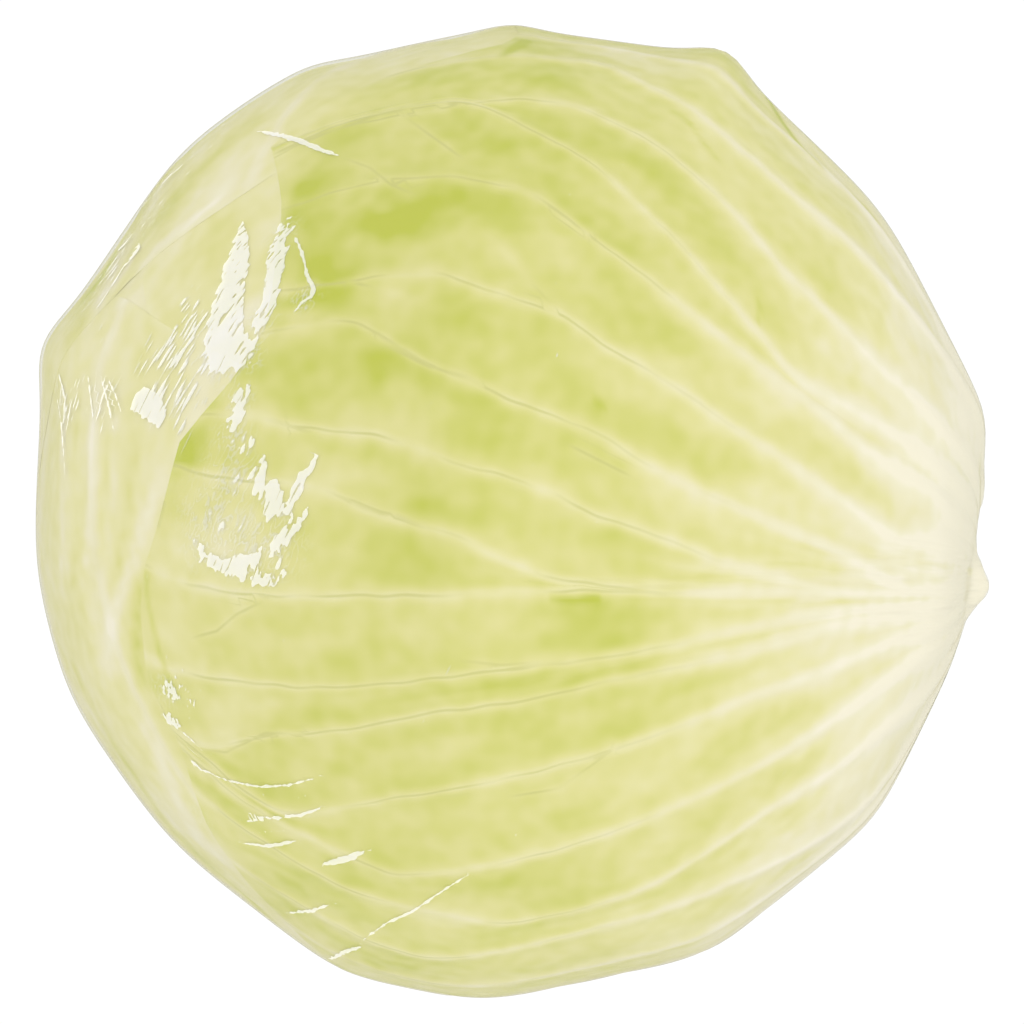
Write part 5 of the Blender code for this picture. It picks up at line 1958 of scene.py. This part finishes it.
def stem_material():
    """Moist white pith of a stem cut across with a knife: cream in the middle, a greener ring
    of fibre bundles, a browned rim, and fine pores."""
    material, tree = new_material("cut cabbage stem, moist pith")
    place = add_node(tree, "ShaderNodeTexCoord").outputs["Object"]
    from_axis = add_node(tree, "ShaderNodeAttribute", attribute_name="from_axis").outputs["Fac"]
    pores = add_node(
        tree, "ShaderNodeTexNoise", {"Scale": grain(PITH_PORE_SIZE), "Detail": 3.0},
        {"Vector": place},
    ).outputs[0]
    clouds = add_node(
        tree, "ShaderNodeTexNoise", {"Scale": grain(PITH_CLOUD_SIZE), "Detail": 3.0},
        {"Vector": place},
    ).outputs[0]
    shifted = add_node(
        tree, "ShaderNodeMath", {1: CLOUD_SHIFT}, {0: clouds, 2: from_axis},
        operation="MULTIPLY_ADD",
    ).outputs[0]
    share = add_node(
        tree, "ShaderNodeMapRange", {"From Min": STEM_SPAN[0], "From Max": STEM_SPAN[1]},
        {"Value": shifted},
    ).outputs[0]
    colour = add_node(
        tree, "ShaderNodeValToRGB", links={"Fac": share}, stops=STEM_COLOURS,
    ).outputs[0]
    height = add_node(
        tree, "ShaderNodeMath", {1: PORE_DEPTH}, {0: pores}, operation="MULTIPLY",
    ).outputs[0]
    height = add_node(
        tree, "ShaderNodeMath", {1: CLOUD_DEPTH}, {0: clouds, 2: height},
        operation="MULTIPLY_ADD",
    ).outputs[0]
    bump = add_node(
        tree, "ShaderNodeBump", {"Strength": 1.0, "Distance": METRES}, {"Height": height},
    ).outputs[0]
    roughness = add_node(
        tree, "ShaderNodeMapRange", {"To Min": PITH_ROUGHNESS[0], "To Max": PITH_ROUGHNESS[1]},
        {"Value": pores},
    ).outputs[0]
    shader = add_node(
        tree, "ShaderNodeBsdfPrincipled", {"IOR": PITH_IOR},
        {"Base Color": colour, "Roughness": roughness, "Normal": bump},
    ).outputs[0]
    add_node(tree, "ShaderNodeOutputMaterial", links={"Surface": shader})
    return material


def bundle_material():
    """Fibre bundles of the cut stem: tougher and greener than the pith round them."""
    material, tree = new_material("cabbage stem fibre, cut across")
    place = add_node(tree, "ShaderNodeTexCoord").outputs["Object"]
    fibres = add_node(
        tree, "ShaderNodeTexNoise", {"Scale": grain(FIBRE_GRAIN_SIZE), "Detail": 3.0},
        {"Vector": place},
    ).outputs[0]
    colour = add_node(
        tree, "ShaderNodeValToRGB", links={"Fac": fibres}, stops=FIBRE_COLOURS,
    ).outputs[0]
    bump = add_node(
        tree, "ShaderNodeBump", {"Strength": 0.4, "Distance": FIBRE_DEPTH * METRES},
        {"Height": fibres},
    ).outputs[0]
    shader = add_node(
        tree, "ShaderNodeBsdfPrincipled", {"Roughness": FIBRE_ROUGHNESS, "IOR": PITH_IOR},
        {"Base Color": colour, "Normal": bump},
    ).outputs[0]
    add_node(tree, "ShaderNodeOutputMaterial", links={"Surface": shader})
    return material


def floor():
    """The plain white light table that the head lies on. It glows, so it takes no shadow."""
    mesh = bpy.data.meshes.new("floor")
    half = 0.5 * FLOOR_SIZE
    corners = [(-half, -half, 0.0), (half, -half, 0.0), (half, half, 0.0), (-half, half, 0.0)]
    mesh.from_pydata(corners, [], [(0, 1, 2, 3)])
    material, tree = new_material("opal acrylic light table, lit from below")
    shader = add_node(
        tree, "ShaderNodeEmission", {"Color": WHITE, "Strength": FLOOR_GLOW},
    ).outputs[0]
    add_node(tree, "ShaderNodeOutputMaterial", links={"Surface": shader})
    material.cycles.emission_sampling = "NONE"
    mesh.materials.append(material)
    stage = bpy.data.objects.new("floor", mesh)
    bpy.context.scene.collection.objects.link(stage)


def aim(thing, place, toward, up):
    """Puts a light or camera at a place, its -Z pointing along toward and its Y along up."""
    back = -unit(np.array(toward, dtype=float))
    side = unit(np.cross(np.array(up, dtype=float), back))
    above = np.cross(back, side)
    turn = Matrix((side, above, back)).transposed()
    thing.matrix_world = Matrix.Translation(place) @ turn.to_4x4()


def panel(name, size, radiance):
    """A rectangular light of even brightness."""
    data = bpy.data.lights.new(name, "AREA")
    data.shape = "RECTANGLE"
    data.size, data.size_y = size
    data.energy = radiance * math.pi * data.size * data.size_y
    light = bpy.data.objects.new(name, data)
    bpy.context.scene.collection.objects.link(light)
    return light


def lights():
    """A white surround, a long soft light that is only seen mirrored, and a fill light that
    isn't mirrored."""
    world = bpy.data.worlds.new("white studio")
    bpy.context.scene.world = world
    world.use_nodes = True
    background = world.node_tree.nodes["Background"]
    background.inputs["Color"].default_value = WHITE
    background.inputs["Strength"].default_value = WORLD_STRENGTH
    light = panel("soft light", SOFT_LIGHT_SIZE, SOFT_LIGHT_RADIANCE)
    light.visible_diffuse = False
    centre = in_the_world(np.zeros(3))
    toward = unit(in_the_world(unit(np.array(SOFT_LIGHT_TOWARD))) - centre)
    aim(light, centre + SOFT_LIGHT_DISTANCE * toward, -toward, SOFT_LIGHT_LONG_AXIS)
    fill = panel("fill light", FILL_SIZE, FILL_RADIANCE)
    fill.visible_glossy = False
    aim(fill, np.array(FILL_PLACE), centre - np.array(FILL_PLACE), (0.0, 0.0, 1.0))


def camera():
    """A long lens in the photo's place, a little above the head and aimed down at it."""
    data = bpy.data.cameras.new("camera")
    data.sensor_width = SENSOR_WIDTH
    view_width = PHOTO_SCALE * 2.0 * PHOTO_MIDDLE
    data.lens = SENSOR_WIDTH * CAMERA_DISTANCE / view_width
    data.clip_start = 0.05
    data.clip_end = 20.0
    scene_camera = bpy.data.objects.new("camera", data)
    bpy.context.scene.collection.objects.link(scene_camera)
    right = (PHOTO_MIDDLE - PHOTO_CENTRE[0]) * PHOTO_SCALE
    up = (PHOTO_CENTRE[1] - PHOTO_MIDDLE) * PHOTO_SCALE
    place = in_the_world(np.array([right, -CAMERA_DISTANCE, up]))
    ahead = in_the_world(np.array([right, 0.0, up])) - place
    aim(scene_camera, place, ahead, (0.0, 0.0, 1.0))
    bpy.context.scene.camera = scene_camera


def main():
    """The whole dressed cabbage, its stage, and the box that it fills."""
    green_leaf = leaf_material(
        "cabbage leaf, green and waxy", mottling=0.84, margin_paleness=0.08,
    )
    pale_leaf = leaf_material("cabbage leaf, pale and waxy", mottling=0.8, margin_paleness=0.3)
    inner_leaf = leaf_material(
        "inner cabbage leaf, cream and waxy", mottling=0.5, margin_paleness=0.0,
    )
    grids = [front_leaf_grid()[0]] + [wrapper_leaf_grid(leaf)[0] for leaf in WRAPPER_LEAVES]
    grids = [grown_from_stem(grid) for grid in grids]
    front_leaf_piece(grids, green_leaf)
    for number in range(1, len(WRAPPER_LEAVES) + 1):
        wrapper_piece(number, grids, pale_leaf)
    inner_head_piece(grids, inner_leaf)
    film = film_piece(grids, film_material(), film_inside_material())
    cut_stem_piece(stem_material())
    bundles_piece(bundle_material())
    floor()
    lights()
    camera()
    bpy.context.scene.view_settings.view_transform = "Standard"
    bpy.context.view_layer.update()


main()
